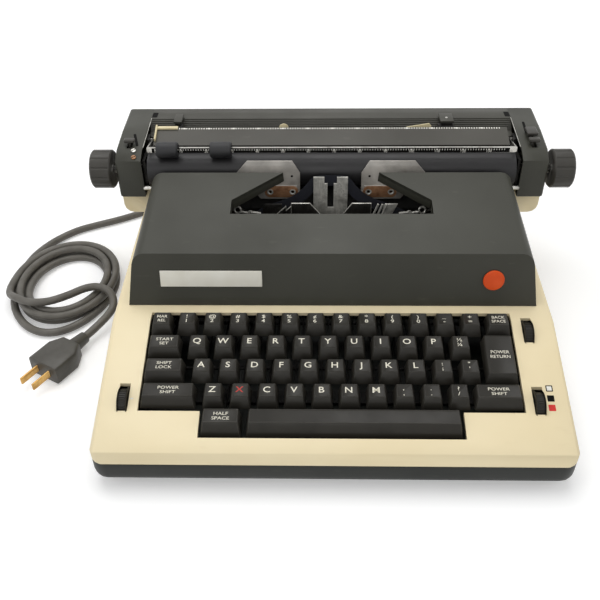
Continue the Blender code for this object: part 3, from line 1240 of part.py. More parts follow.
def lever_slots(side):
    """Where the lever stems of one cap pass through its top, along Y."""
    release = (RELEASE_PAD_Y - LEVER_SLOT_MARGIN - LEVER_WIDTH / 2,
               RELEASE_PAD_Y + LEVER_SLOT_MARGIN + LEVER_WIDTH / 2)
    tab = (TAB_PAD_Y - LEVER_SLOT_MARGIN - LEVER_WIDTH / 2,
           TAB_PAD_Y + LEVER_SLOT_MARGIN + LEVER_WIDTH / 2)
    return (tab, release) if side > 0 else (tab,)


def make_cap_lever(name, side, pad_y, pad_depth, stem_x, finish_name):
    """A lever with a boss on the cap's pin, a stem through the slot and a finger pad."""
    pad_low = cap_top(pad_y) + PAD_LIFT
    centre_x = side * LEVER_X
    half = LEVER_WIDTH / 4 - RUNNING_GAP / 4
    boss = turned(name, [
        (LEVER_PIN_RADIUS + GAP, half), (LEVER_BOSS_RADIUS, half), (LEVER_BOSS_RADIUS, -half),
        (LEVER_PIN_RADIUS + GAP, -half), (LEVER_PIN_RADIUS + GAP, half)],
        ROLLER_STEPS, "X", (stem_x, LEVER_PIVOT_Y, LEVER_PIVOT_Z))
    lean = pad_y - LEVER_PIVOT_Y
    stem = outline("stem", [
        (LEVER_PIVOT_Y - LEVER_BOSS_RADIUS + GAP, LEVER_PIVOT_Z + LEVER_PIN_RADIUS + GAP),
        (LEVER_PIVOT_Y + LEVER_BOSS_RADIUS - GAP, LEVER_PIVOT_Z + LEVER_PIN_RADIUS + GAP),
        (LEVER_PIVOT_Y + lean + LEVER_WIDTH / 2, cap_top(pad_y) - OVERRUN),
        (LEVER_PIVOT_Y + lean + LEVER_WIDTH / 2, pad_low + SHEET),
        (LEVER_PIVOT_Y + lean - LEVER_WIDTH / 2, pad_low + SHEET),
        (LEVER_PIVOT_Y + lean - LEVER_WIDTH / 2, cap_top(pad_y) - OVERRUN)],
        stem_x - half, stem_x + half, SIDE_VIEW)
    join(boss, stem)
    pad = box("pad", (centre_x - PAD_WIDTH / 2, pad_y - pad_depth / 2, pad_low),
              (centre_x + PAD_WIDTH / 2, pad_y + pad_depth / 2, pad_low + PAD_HEIGHT))
    round_edges(pad, lambda a, b: True, SHEET / 2, 1)
    join(boss, pad)
    return finish(boss, finish_name, (stem_x, LEVER_PIVOT_Y, LEVER_PIVOT_Z))


def make_cap_levers():
    """Line-space lever on the left, paper release and carriage release on the right."""
    step = LEVER_WIDTH / 4 + RUNNING_GAP / 4
    make_cap_lever("line_space_lever", -1, TAB_PAD_Y, TAB_PAD_DEPTH, -LEVER_X, "cover_green")
    make_cap_lever("paper_release_lever", 1, TAB_PAD_Y, TAB_PAD_DEPTH, LEVER_X - step, "cover_green")
    make_cap_lever("carriage_release_lever", 1, RELEASE_PAD_Y, RELEASE_PAD_DEPTH, LEVER_X + step,
                   "cover_green")


def make_platen():
    """The rubber platen with the shaft that reaches into both knobs."""
    roll = turned("platen", [
        (0.0, PLATEN_SHAFT_END_X), (PLATEN_SHAFT_RADIUS, PLATEN_SHAFT_END_X),
        (PLATEN_SHAFT_RADIUS, PLATEN_HALF_LENGTH), (PLATEN_RADIUS, PLATEN_HALF_LENGTH),
        (PLATEN_RADIUS, -PLATEN_HALF_LENGTH), (PLATEN_SHAFT_RADIUS, -PLATEN_HALF_LENGTH),
        (PLATEN_SHAFT_RADIUS, -PLATEN_SHAFT_END_X), (0.0, -PLATEN_SHAFT_END_X)],
        PLATEN_STEPS, "X", (0.0, PLATEN_Y, PLATEN_Z))
    return finish(roll, "rubber", (0.0, PLATEN_Y, PLATEN_Z))


def make_knobs():
    """Two fluted platen knobs, each bored for the end of the shaft."""
    inner, outer = KNOB_INNER_X, KNOB_OUTER_X
    bore = PLATEN_SHAFT_RADIUS + GAP
    floor = PLATEN_SHAFT_END_X + GAP
    for label, side in (("left", -1), ("right", 1)):
        profile = [(0.0, outer), (KNOB_RADIUS - KNOB_EDGE, outer), (KNOB_RADIUS, outer - KNOB_EDGE),
                   (KNOB_RADIUS, inner + KNOB_EDGE), (KNOB_RADIUS - KNOB_EDGE, inner),
                   (bore, inner), (bore, floor), (0.0, floor)]
        if side < 0:
            profile = [(radius, -along) for radius, along in reversed(profile)]
        knob = turned("knob_" + label, profile, KNOB_STEPS, "X", (0.0, PLATEN_Y, PLATEN_Z))
        for flute in range(KNOB_FLUTES):
            angle = 2 * math.pi * flute / KNOB_FLUTES
            y = PLATEN_Y + (KNOB_RADIUS + KNOB_FLUTE_RADIUS / 2) * math.cos(angle)
            z = PLATEN_Z + (KNOB_RADIUS + KNOB_FLUTE_RADIUS / 2) * math.sin(angle)
            low = side * (inner + KNOB_EDGE + GAP)
            high = side * (outer + OVERRUN)
            cut(knob, rod("flute", y, z, min(low, high), max(low, high), KNOB_FLUTE_RADIUS, 8))
        finish(knob, "rubber", (side * (inner + outer) / 2, PLATEN_Y, PLATEN_Z))


def make_paper_table():
    """The sloping plate behind the platen, bent down behind it."""
    lean = math.atan2(TABLE_TOP_Z - TABLE_LIP_Z, TABLE_TOP_Y - TABLE_LIP_Y)
    down_y = TABLE_SHEET * math.sin(lean)
    down_z = TABLE_SHEET * math.cos(lean)
    bend_y = TABLE_TAIL_Y - TABLE_SHEET
    bend_z = TABLE_LIP_Z + (bend_y - TABLE_LIP_Y) * math.tan(lean)
    points = [
        (TABLE_LIP_Y, TABLE_LIP_Z), (TABLE_TOP_Y, TABLE_TOP_Z),
        (TABLE_TOP_Y + down_y, TABLE_TOP_Z - down_z),
        (TABLE_TAIL_Y + TABLE_SHEET, bend_z - down_z + TABLE_SHEET * math.tan(lean)),
        (TABLE_TAIL_Y + TABLE_SHEET, TABLE_TAIL_Z), (TABLE_TAIL_Y, TABLE_TAIL_Z),
        (TABLE_TAIL_Y, bend_z - down_z), (TABLE_LIP_Y + down_y, TABLE_LIP_Z - down_z)]
    table = outline("paper_table", points, -TABLE_HALF_WIDTH, TABLE_HALF_WIDTH, SIDE_VIEW)
    reach = FRAME_HALF_WIDTH - CHEEK_THICKNESS - GAP
    join(table, box("hanger", (-reach, TABLE_TAIL_Y + GAP / 3, TABLE_TAIL_Z + GAP),
                    (reach, TABLE_TAIL_Y + TABLE_SHEET - GAP / 3, PLATEN_Z + 2 * TABLE_SHEET)))
    return finish(table, "cover_green")


def table_height(y):
    """Height of the paper table's upper face at a place along Y."""
    share = (y - TABLE_LIP_Y) / (TABLE_TOP_Y - TABLE_LIP_Y)
    return TABLE_LIP_Z + share * (TABLE_TOP_Z - TABLE_LIP_Z)


def make_paper_guide():
    """The ivory edge guide that slides along the paper table."""
    front, rear = TABLE_LIP_Y + OVERRUN, TABLE_TOP_Y
    fence = outline("paper_guide", [
        (front, table_height(front) + GAP), (rear, table_height(rear) + GAP),
        (rear, table_height(rear) + GAP + GUIDE_HEIGHT), (front, table_height(front) + GAP + GUIDE_HEIGHT)],
        GUIDE_X, GUIDE_X + GUIDE_SHEET, SIDE_VIEW)
    bar_front = rear - GUIDE_HEIGHT
    bar = outline("bar", [
        (bar_front, table_height(bar_front) + GAP), (rear, table_height(rear) + GAP),
        (rear, table_height(rear) + GAP + GUIDE_SHEET),
        (bar_front, table_height(bar_front) + GAP + GUIDE_SHEET)],
        GUIDE_X + GUIDE_SHEET / 2, GUIDE_X + GUIDE_LENGTH, SIDE_VIEW)
    join(fence, bar)
    return finish(fence, "ivory")


def make_bail():
    """The paper bail, a flat bar on two arms, with two rubber rollers on it."""
    bar = box("paper_bail", (-BAIL_ARM_X, BAIL_Y - BAIL_SHEET / 2, BAIL_Z - BAIL_HEIGHT / 2),
              (BAIL_ARM_X, BAIL_Y + BAIL_SHEET / 2, BAIL_Z + BAIL_HEIGHT / 2))
    for side in (-1, 1):
        ends = sorted((side * BAIL_ARM_X, side * (BAIL_ARM_X + BAIL_SHEET)))
        arm = outline("arm", [
            (BAIL_Y - BAIL_SHEET / 2, BAIL_Z - BAIL_ARM_HEIGHT / 2),
            (BAIL_Y - BAIL_SHEET / 2, BAIL_Z + BAIL_ARM_HEIGHT / 2),
            (BAIL_PIVOT_Y, BAIL_PIVOT_Z + BAIL_ARM_HEIGHT / 2),
            (BAIL_PIVOT_Y + BAIL_ARM_HEIGHT / 2, BAIL_PIVOT_Z),
            (BAIL_PIVOT_Y, BAIL_PIVOT_Z - BAIL_ARM_HEIGHT / 2)], ends[0], ends[1], SIDE_VIEW)
        join(bar, arm)
        pin_ends = sorted((side * (BAIL_ARM_X + BAIL_SHEET / 2), side * FRAME_HALF_WIDTH))
        join(bar, rod("bail_pin", BAIL_PIVOT_Y, BAIL_PIVOT_Z, *pin_ends, BAIL_PIN_RADIUS))
    finish(bar, "bright_steel", (0.0, BAIL_PIVOT_Y, BAIL_PIVOT_Z))
    half = BAIL_ROLLER_LENGTH / 2
    edge = BAIL_ROLLER_RADIUS / 6
    for label, x in (("left", LEFT_ROLLER_X), ("right", RIGHT_ROLLER_X)):
        roller = turned("bail_roller_" + label, [
            (BAIL_ROLLER_BORE, half), (BAIL_ROLLER_RADIUS - edge, half),
            (BAIL_ROLLER_RADIUS, half - edge), (BAIL_ROLLER_RADIUS, -half + edge),
            (BAIL_ROLLER_RADIUS - edge, -half), (BAIL_ROLLER_BORE, -half), (BAIL_ROLLER_BORE, half)],
            ROLLER_STEPS, "X", (x, BAIL_Y, BAIL_Z))
        finish(roller, "rubber", (x, BAIL_Y, BAIL_Z))


def make_margin_stops():
    """The two margin stops in the trough behind the paper table."""
    for label, x, width in (("left", LEFT_STOP_X, STOP_WIDTH), ("right", RIGHT_STOP_X, RIGHT_STOP_WIDTH)):
        low = TROUGH_Z + GAP
        stop = outline("margin_stop_" + label, [
            (STOP_Y - STOP_DEPTH / 2, low), (STOP_Y - STOP_DEPTH / 2, low + STOP_HEIGHT * 2 / 3),
            (STOP_Y, low + STOP_HEIGHT), (STOP_Y + STOP_DEPTH / 2, low + STOP_HEIGHT),
            (STOP_Y + STOP_DEPTH / 2, low)], x - width / 2, x + width / 2, SIDE_VIEW)
        bevel(stop, GUIDE_SHEET / 4)
        finish(stop, "cover_green")


def key_cap(name, x, y, z, width, top_depth, height, front_run, slope=0.0):
    """A stepped key cap: sloping front and sides, and a dished top.

    x, y and z are the middle of its top face, and slope is the rise of the top per metre.
    """
    flare = (KEY_BASE_WIDTH - KEY_TOP_WIDTH) / 2
    cap = box(name, (x - width / 2, y - top_depth / 2, z - height), (x + width / 2, y + top_depth / 2, z))
    for vertex in cap.data.vertices:
        top = vertex.co.z > z - height / 2
        rear = vertex.co.y > y
        if top:
            vertex.co.z += (vertex.co.y - y) * slope
        else:
            vertex.co.x += math.copysign(flare, vertex.co.x - x)
            vertex.co.z += (vertex.co.y - y) * key_slope()
            vertex.co.y += KEY_REAR_RUN if rear else -front_run
    bm = bmesh.new()
    bm.from_mesh(cap.data)
    bmesh.ops.bevel(bm, geom=[e for e in bm.edges if max(e.verts[0].co.z, e.verts[1].co.z) > z - height / 2],
                    offset=KEY_EDGE, segments=1, profile=0.5, affect="EDGES", clamp_overlap=True)
    bm.normal_update()
    top = max((face for face in bm.faces if face.normal.z > math.cos(math.radians(40.0))),
              key=lambda face: face.calc_area())
    bmesh.ops.inset_individual(bm, faces=[top], thickness=KEY_RIM)
    bmesh.ops.translate(bm, vec=(0.0, 0.0, -KEY_DISH), verts=top.verts)
    bm.to_mesh(cap.data)
    bm.free()
    return cap


def key_slope():
    """Rise of the keyboard per metre towards the rear."""
    return ROW_RISE / KEY_PITCH


def key_lever(x, y, z, rod_y, rod_z, tail):
    """The flat lever from under a cap back to its rod, with the stem into the cap.

    tail lists the points of its rear end from the top down, as distances from the rod.
    """
    half = KEY_LEVER_HEIGHT / 2
    return outline("lever", [
        (y - KEY_STEM_DEPTH / 2, z - half), (y - KEY_STEM_DEPTH / 2, z + KEY_LEVER_HEIGHT),
        (y + KEY_STEM_DEPTH / 2, z + KEY_LEVER_HEIGHT), (y + KEY_STEM_DEPTH, z + half),
        *((rod_y + back, rod_z + up) for back, up in tail),
        (y + KEY_STEM_DEPTH, z - half)], x - SHEET / 2, x + SHEET / 2, SIDE_VIEW)


def rod_tail():
    """Rear end of a lever that is fixed on its row's own rod."""
    half = KEY_LEVER_HEIGHT / 2
    return ((0.0, half), (EYE_RADIUS, half / 2), (EYE_RADIUS, -half / 2), (0.0, -half))


def eye_tail():
    """Rear end of a lever that stops inside the ring of its eye."""
    half = KEY_LEVER_HEIGHT / 2
    back = -(EYE_RADIUS + ROD_RADIUS) / 2 - GAP
    return ((back, half), (back, -half))


def row_place(row):
    """Y and Z of the cap tops in a row: 0 shift row, 1 home, 2 upper, 3 digits, -1 space bar."""
    return SHIFT_ROW_Y + row * KEY_PITCH, SHIFT_ROW_Z + row * ROW_RISE


def make_key_row(name, row, first_x, count, level):
    """One row of character keys with their levers on their own rod."""
    y, z = row_place(row)
    rod_z = ROD_LOW_Z + level * ROD_PITCH
    end = CHASSIS_HALF_WIDTH - SHEET
    keys = []
    for index in range(count):
        x = first_x + index * KEY_PITCH
        cap = key_cap("cap", x, y, z, KEY_TOP_WIDTH, KEY_TOP_DEPTH, KEY_HEIGHT, KEY_FRONT_RUN, KEY_TOP_SLOPE_SHARE)
        join(cap, key_lever(x, y, z - KEY_HEIGHT - KEY_LEVER_HEIGHT / 2, ROD_Y, rod_z, rod_tail()))
        keys.append(cap)
    row = gather(name, keys)
    join(row, rod("row_rod", ROD_Y, rod_z, -end, end, ROD_RADIUS))
    return finish(row, "key_black", (0.0, ROD_Y, rod_z))


def make_function_key(name, x, y, z, width, depth, lever_x, slope=KEY_TOP_SLOPE_SHARE):
    """A wider key with one lever that turns on the chassis side rod."""
    cap = key_cap(name, x, y, z, width, depth, KEY_HEIGHT, KEY_FRONT_RUN, slope)
    rod_y, rod_z = SIDE_ROD_Y, SIDE_ROD_Z
    low_z = z - KEY_HEIGHT - KEY_LEVER_HEIGHT / 2 - LEVER_DROP
    lever = key_lever(lever_x, y, low_z, rod_y, rod_z, eye_tail())
    add_eye(lever, lever_x, rod_y, rod_z)
    join(cap, lever)
    return finish(cap, "key_black", (x, rod_y, rod_z))


def add_eye(lever, lever_x, rod_y, rod_z):
    """Give a lever a round eye that runs on a fixed rod."""
    half = SHEET / 2 + GAP
    outer = EYE_RADIUS + SHEET / 2
    join(lever, rod("eye", rod_y, rod_z, lever_x - half, lever_x + half, outer, ROD_STEPS))
    cut(lever, rod("eye_bore", rod_y, rod_z, lever_x - half - OVERRUN, lever_x + half + OVERRUN,
                   ROD_RADIUS + GAP, ROD_STEPS))


def make_function_keys():
    """Margin release, back space, tab, locks, shifts and the tall return key."""
    digits, upper, home, shift = (row_place(row) for row in (3, 2, 1, 0))
    make_function_key("margin_release_key", MARGIN_RELEASE_X, *digits, MARGIN_RELEASE_WIDTH,
                      KEY_TOP_DEPTH, MARGIN_RELEASE_LEVER_X)
    make_function_key("back_space_key", BACK_SPACE_X, *digits, BACK_SPACE_WIDTH, KEY_TOP_DEPTH,
                      BACK_SPACE_LEVER_X)
    make_function_key("tab_set_key", TAB_SET_X, *upper, TAB_SET_WIDTH, KEY_TOP_DEPTH, TAB_SET_LEVER_X)
    make_function_key("shift_lock_key", SHIFT_LOCK_X, *home, SHIFT_LOCK_WIDTH, KEY_TOP_DEPTH,
                      SHIFT_LOCK_LEVER_X)
    make_function_key("shift_key_left", LEFT_SHIFT_X, *shift, LEFT_SHIFT_WIDTH, KEY_TOP_DEPTH,
                      LEFT_SHIFT_LEVER_X)
    make_function_key("shift_key_right", RIGHT_SHIFT_X, *shift, RIGHT_SHIFT_WIDTH, KEY_TOP_DEPTH,
                      RIGHT_SHIFT_LEVER_X)
    middle_y = (upper[0] + home[0]) / 2
    middle_z = (upper[1] + home[1]) / 2
    make_function_key("return_key", RETURN_X, middle_y, middle_z, RETURN_WIDTH,
                      KEY_PITCH + KEY_TOP_DEPTH, RETURN_LEVER_X, key_slope())


def make_space_key(name, x, width, lever_places):
    """The space bar or the half-space key, on arms that turn on the front rod."""
    y, z = row_place(-1)
    cap = key_cap(name, x, y, z, width, SPACE_TOP_DEPTH, SPACE_HEIGHT, SPACE_FRONT_RUN, KEY_TOP_SLOPE_SHARE)
    low_z = z - SPACE_HEIGHT - KEY_LEVER_HEIGHT / 2
    for lever_x in lever_places:
        lever = key_lever(lever_x, y, low_z, SPACE_ROD_Y, SPACE_ROD_Z, eye_tail())
        add_eye(lever, lever_x, SPACE_ROD_Y, SPACE_ROD_Z)
        join(cap, lever)
    return finish(cap, "key_black", (x, SPACE_ROD_Y, SPACE_ROD_Z))


def make_wheel(name, x, y):
    """A thumb wheel with a flat grip, sunk in the deck."""
    z = deck_height(y) - WHEEL_SINK
    edge = WHEEL_HALF_WIDTH / 4
    wheel = turned(name, [
        (WHEEL_BORE, WHEEL_HALF_WIDTH), (WHEEL_RADIUS - edge, WHEEL_HALF_WIDTH),
        (WHEEL_RADIUS, WHEEL_HALF_WIDTH - edge), (WHEEL_RADIUS, -WHEEL_HALF_WIDTH + edge),
        (WHEEL_RADIUS - edge, -WHEEL_HALF_WIDTH), (WHEEL_BORE, -WHEEL_HALF_WIDTH),
        (WHEEL_BORE, WHEEL_HALF_WIDTH)], WHEEL_STEPS, "X", (x, y, z))
    return finish(wheel, "key_black", (x, y, z))


def smooth_route(points, steps):
    """Points on a smooth curve through a route, by Catmull-Rom spans."""
    route = [Vector(point) for point in points]
    padded = [2 * route[0] - route[1]] + route + [2 * route[-1] - route[-2]]
    curve = []
    for i in range(1, len(padded) - 2):
        p0, p1, p2, p3 = padded[i - 1:i + 3]
        for step in range(steps):
            t = step / steps
            curve.append(((2 * p1) + (p2 - p0) * t + (2 * p0 - 5 * p1 + 4 * p2 - p3) * t * t
                          + (3 * p1 - p0 - 3 * p2 + p3) * t ** 3) / 2)
    curve.append(route[-1])
    return curve


def tube(name, points, radius, resolution):
    """A round tube with filled caps along a polyline."""
    curve = bpy.data.curves.new(name, "CURVE")
    curve.dimensions = "3D"
    curve.bevel_depth = radius
    curve.bevel_resolution = resolution
    curve.use_fill_caps = True
    spline = curve.splines.new("POLY")
    spline.points.add(len(points) - 1)
    for place, point in zip(spline.points, points):
        place.co = (*point, 1.0)
    return curve_to_mesh(name, curve, Matrix.Identity(4), PARTS)


def coil_points():
    """Centre line of the coil: it spirals in, climbs a layer as it turns back, and spirals out."""
    per_layer = COIL_TURNS // COIL_LAYERS
    count = COIL_TURNS * COIL_POINTS_PER_TURN
    start_angle = math.pi
    points = []
    for i in range(count + 1):
        turn = i / COIL_POINTS_PER_TURN
        inward = turn if turn <= per_layer else 2 * per_layer - turn
        climb = min(1.0, max(0.0, (turn - per_layer + 0.25) / 0.5))
        climb = climb * climb * (3.0 - 2.0 * climb)
        angle = start_angle + 2 * math.pi * turn
        stray = COIL_STRAY * math.sin(angle) ** 2 if turn < 0.5 else 0.0
        half_width = COIL_HALF_WIDTH - CORD_RADIUS - inward * COIL_TURN_STEP
        half_depth = COIL_HALF_DEPTH - CORD_RADIUS - inward * COIL_TURN_STEP + stray
        points.append(Vector((COIL_CENTRE_X + half_width * math.cos(angle),
                              COIL_CENTRE_Y + half_depth * math.sin(angle),
                              CORD_RADIUS + GAP + climb * COIL_LAYER_STEP)))
    straight = Vector((0.0, 2 * CORD_RADIUS, 0.0))
    return [points[0] + straight] + points + [points[-1] - straight]


def least_gap(points):
    """Least distance between the surfaces of turns that aren't neighbours on the tube."""
    skip = COIL_POINTS_PER_TURN // 3
    least = min((points[i] - points[j]).length
                for i in range(len(points)) for j in range(i + skip, len(points)))
    return least - 2 * CORD_RADIUS


def make_cord():
    """Strain relief, the free lead, the coil, the tail and the two-blade plug."""
    tip = RELIEF_LENGTH
    relief = turned("strain_relief", [
        (RELIEF_BORE_RADIUS, tip), (RELIEF_TIP_RADIUS, tip), (RELIEF_ROOT_RADIUS - GAP, SHELL_WALL),
        (RELIEF_ROOT_RADIUS - GAP, -SHELL_WALL - SHEET), (RELIEF_BORE_RADIUS, -SHELL_WALL - SHEET),
        (RELIEF_BORE_RADIUS, tip)], RELIEF_STEPS, "Y",
        (CORD_EXIT_X, BODY_REAR_Y, CORD_EXIT_Z))
    finish(relief, "cord_grey")
    lead = smooth_route(LEAD_ROUTE, 2)
    finish(tube("cord_lead", lead, CORD_RADIUS, 2), "cord_grey")
    coil = coil_points()
    print("least gap of the coil to itself, mm:", round(1000 * least_gap(coil), 3))
    finish(tube("cord_coil", coil, CORD_RADIUS, 1), "cord_grey")
    finish(tube("cord_tail", smooth_route(TAIL_ROUTE, 2), CORD_RADIUS, 2), "cord_grey")
    make_plug()


def make_plug():
    """The two-blade plug: a tapered neck, a moulded grip and two flat blades."""
    body_start = PLUG_NECK_LENGTH
    body_end = body_start + PLUG_BODY_LENGTH
    shoulder = body_start + PLUG_SHOULDER
    half, rear = PLUG_HALF_WIDTH, PLUG_REAR_HALF_WIDTH
    plug = outline("plug", [
        (body_start, -rear), (shoulder, -half), (body_end, -half), (body_end, half),
        (shoulder, half), (body_start, rear)], -PLUG_HALF_HEIGHT, PLUG_HALF_HEIGHT, TOP_VIEW)
    round_edges(plug, lambda a, b: min(a.x, b.x) < body_end - GAP and abs(a.x - b.x) > GAP
                or max(a.x, b.x) < body_start + GAP and abs(a.z - b.z) < GAP, PLUG_ROUND, 2)
    neck = turned("neck", [
        (0.0, body_start + PLUG_ROUND), (PLUG_NECK_RADIUS + PLUG_ROUND / 2, body_start + PLUG_ROUND),
        (PLUG_NECK_RADIUS, GAP), (0.0, GAP)], RELIEF_STEPS, "X")
    join(plug, neck)
    for side in (-1, 1):
        middle = side * BLADE_PITCH / 2
        blade = box("blade", (body_end - PLUG_ROUND, middle - BLADE_THICKNESS / 2, -BLADE_WIDTH / 2),
                    (body_end + BLADE_LENGTH, middle + BLADE_THICKNESS / 2, BLADE_WIDTH / 2))
        join(plug, blade)
    finish(plug, "key_black")
    plug.rotation_euler = (0.0, 0.0, PLUG_HEADING)
    plug.location = (PLUG_X, PLUG_Y, PLUG_Z)


def main():
    """Build every piece."""
    start_scene()
    make_body_shell()
    make_base_pan()
    make_feet()
    make_top_cover()
    make_nameplate_and_badge()
    make_chassis()
    make_type_segment()
    make_type_bar()
    make_type_guide()
    make_card_holders()
    make_spools()
    make_drive()
    make_carriage_rail()
    make_carriage_frame()
    make_carriage_cover()
    make_end_cap("left", -1)
    make_end_cap("right", 1)
    make_cap_levers()
    make_platen()
    make_knobs()
    make_paper_table()
    make_paper_guide()
    make_bail()
    make_margin_stops()
    make_key_row("key_row_digits", 3, DIGIT_ROW_X, DIGIT_KEYS, 3)
    make_key_row("key_row_upper", 2, UPPER_ROW_X, UPPER_KEYS, 2)
    make_key_row("key_row_home", 1, HOME_ROW_X, HOME_KEYS, 1)
    make_key_row("key_row_lower", 0, LOWER_ROW_X, LOWER_KEYS, 0)
    make_function_keys()
    make_space_key("half_space_key", HALF_SPACE_X, HALF_SPACE_WIDTH, (HALF_SPACE_LEVER_X,))
    make_space_key("space_bar", SPACE_BAR_X, SPACE_BAR_WIDTH, (SPACE_LEVER_LEFT_X, SPACE_LEVER_RIGHT_X))
    make_wheel("touch_wheel", LEFT_WHEEL_X, LEFT_WHEEL_Y)
    make_wheel("line_space_wheel", UPPER_WHEEL_X, UPPER_WHEEL_Y)
    make_wheel("ribbon_selector", LOWER_WHEEL_X, LOWER_WHEEL_Y)
    make_cord()


main()
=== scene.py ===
"""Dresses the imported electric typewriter: finishes, lettering, fine parts, cord and studio."""

import json
import logging
import math
from contextlib import contextmanager
from dataclasses import dataclass, field
from enum import Enum
from typing import Callable, Iterator, Sequence

import bpy
from mathutils import Matrix, Vector
from mathutils.bvhtree import BVHTree

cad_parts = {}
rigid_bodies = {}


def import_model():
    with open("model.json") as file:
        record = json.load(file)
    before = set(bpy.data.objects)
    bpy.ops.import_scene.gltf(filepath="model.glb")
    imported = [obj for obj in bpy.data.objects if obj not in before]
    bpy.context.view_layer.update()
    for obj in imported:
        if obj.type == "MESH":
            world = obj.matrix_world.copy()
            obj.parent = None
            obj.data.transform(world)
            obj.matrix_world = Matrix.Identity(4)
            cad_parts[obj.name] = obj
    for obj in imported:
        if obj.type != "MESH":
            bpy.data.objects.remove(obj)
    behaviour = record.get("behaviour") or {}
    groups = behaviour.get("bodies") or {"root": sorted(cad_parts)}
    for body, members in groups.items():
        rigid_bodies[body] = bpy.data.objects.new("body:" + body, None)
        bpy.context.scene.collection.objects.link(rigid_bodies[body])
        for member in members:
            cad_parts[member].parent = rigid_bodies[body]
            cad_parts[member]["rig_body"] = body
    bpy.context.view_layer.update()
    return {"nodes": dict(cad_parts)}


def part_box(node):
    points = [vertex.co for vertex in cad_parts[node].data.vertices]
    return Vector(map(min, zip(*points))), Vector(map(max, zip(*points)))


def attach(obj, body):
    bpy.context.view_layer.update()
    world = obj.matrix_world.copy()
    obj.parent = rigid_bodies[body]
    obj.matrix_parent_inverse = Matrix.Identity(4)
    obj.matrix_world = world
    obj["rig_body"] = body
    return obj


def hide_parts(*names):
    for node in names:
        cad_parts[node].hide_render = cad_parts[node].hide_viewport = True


LOG = logging.getLogger("typewriter")
MERGE = 0.00001              # vertices of one corner lie closer than this
FLAT_ANGLE = math.radians(0.4)
SOFT_ANGLE = math.radians(32.0)
HAIR = 0.00005               # how far printing stands off what it is printed on

Colour = tuple[float, float, float]
Triple = tuple[float, float, float]
Picker = Callable[[Vector, Vector], bool]
Shaper = Callable[[bpy.types.Object], None]


def linear(shade: Colour) -> tuple[float, float, float, float]:
    """Turns a colour of 0 to 255 as a screen shows it into the shader's linear numbers.

    Args:
        shade: Red, green and blue from 0 to 255.

    Returns:
        The linear colour with full alpha.
    """
    parts = [value / 255.0 for value in shade]
    line = [part / 12.92 if part <= 0.04045 else ((part + 0.055) / 1.055) ** 2.4 for part in parts]
    return (line[0], line[1], line[2], 1.0)


class Axis(Enum):
    """The way a turned or drilled piece points."""

    X = "X"
    Y = "Y"
    Z = "Z"

    @property
    def vector(self) -> Vector:
        """Unit vector along the axis."""
        return Vector([float(self.value == name) for name in "XYZ"])

    @property
    def turn(self) -> Matrix:
        """Rotation that brings Z to the axis."""
        return Vector((0.0, 0.0, 1.0)).rotation_difference(self.vector).to_matrix().to_4x4()


class Graph:
    """A material's node tree, with short calls to add nodes and join them."""

    def __init__(self, name: str) -> None:
        """Starts a material with its Principled shader.

        Args:
            name: The finish's name.
        """
        self.material = bpy.data.materials.new(name)
        self.material.use_nodes = True
        self.nodes = self.material.node_tree.nodes
        self.links = self.material.node_tree.links
        self.shader = self.nodes["Principled BSDF"]
        self.place = self.nodes.new("ShaderNodeTexCoord").outputs["Object"]

    def put(self, node: bpy.types.Node, socket: str | int, value: object) -> None:
        """Sets a socket's own value, or joins another node's output to it.

        Args:
            node: The node that takes the value.
            socket: The input's name or number.
            value: A plain value or an output socket.
        """
        if isinstance(value, bpy.types.NodeSocket):
            self.links.new(value, node.inputs[socket])
        else:
            node.inputs[socket].default_value = value

    def noise(self, scale: float, detail: float = 3.0,
              stretch: Triple = (1.0, 1.0, 1.0)) -> bpy.types.NodeSocket:
        """Noise on the piece's own coordinates.

        Args:
            scale: Features per metre.
            detail: How many finer layers it holds.
            stretch: Scale of each axis, to draw the noise out into lines.

        Returns:
            The noise's value from 0 to 1.
        """
        place = self.place
        if stretch != (1.0, 1.0, 1.0):
            mapping = self.nodes.new("ShaderNodeMapping")
            self.put(mapping, "Vector", place)
            self.put(mapping, "Scale", stretch)
            place = mapping.outputs["Vector"]
        node = self.nodes.new("ShaderNodeTexNoise")
        self.put(node, "Vector", place)
        self.put(node, "Scale", scale)
        self.put(node, "Detail", detail)
        return node.outputs["Fac"]

    def spread(self, value: bpy.types.NodeSocket, low: float, high: float,
               start: float = 0.3, end: float = 0.7) -> bpy.types.NodeSocket:
        """Maps a noise onto a range.

        Args:
            value: The noise.
            low: What it gives at start.
            high: What it gives at end.
            start: Noise value that gives low.
            end: Noise value that gives high.

        Returns:
            The mapped value, held inside the range.
        """
        node = self.nodes.new("ShaderNodeMapRange")
        for socket, number in (("Value", value), ("From Min", start), ("From Max", end),
                               ("To Min", low), ("To Max", high)):
            self.put(node, socket, number)
        return node.outputs["Result"]

    def mix(self, factor: bpy.types.NodeSocket, first: object, second: object) -> bpy.types.NodeSocket:
        """Mixes two colours.

        Args:
            factor: 0 gives the first, 1 the second.
            first: A colour or a socket.
            second: A colour or a socket.

        Returns:
            The mixed colour.
        """
        node = self.nodes.new("ShaderNodeMix")
        node.data_type = "RGBA"
        colours = [socket for socket in node.inputs if socket.type == "RGBA"]
        self.put(node, 0, factor)
        for socket, value in zip(colours, (first, second)):
            if isinstance(value, bpy.types.NodeSocket):
                self.links.new(value, socket)
            else:
                socket.default_value = value
        return next(socket for socket in node.outputs if socket.type == "RGBA")

    def bump(self, height: bpy.types.NodeSocket, strength: float, depth: float) -> None:
        """Gives the shader a relief.

        Args:
            height: The relief's height from 0 to 1.
            strength: How much of it shows.
            depth: Its real depth in metres.
        """
        node = self.nodes.new("ShaderNodeBump")
        self.put(node, "Height", height)
        self.put(node, "Strength", strength)
        self.put(node, "Distance", depth)
        self.put(self.shader, "Normal", node.outputs["Normal"])


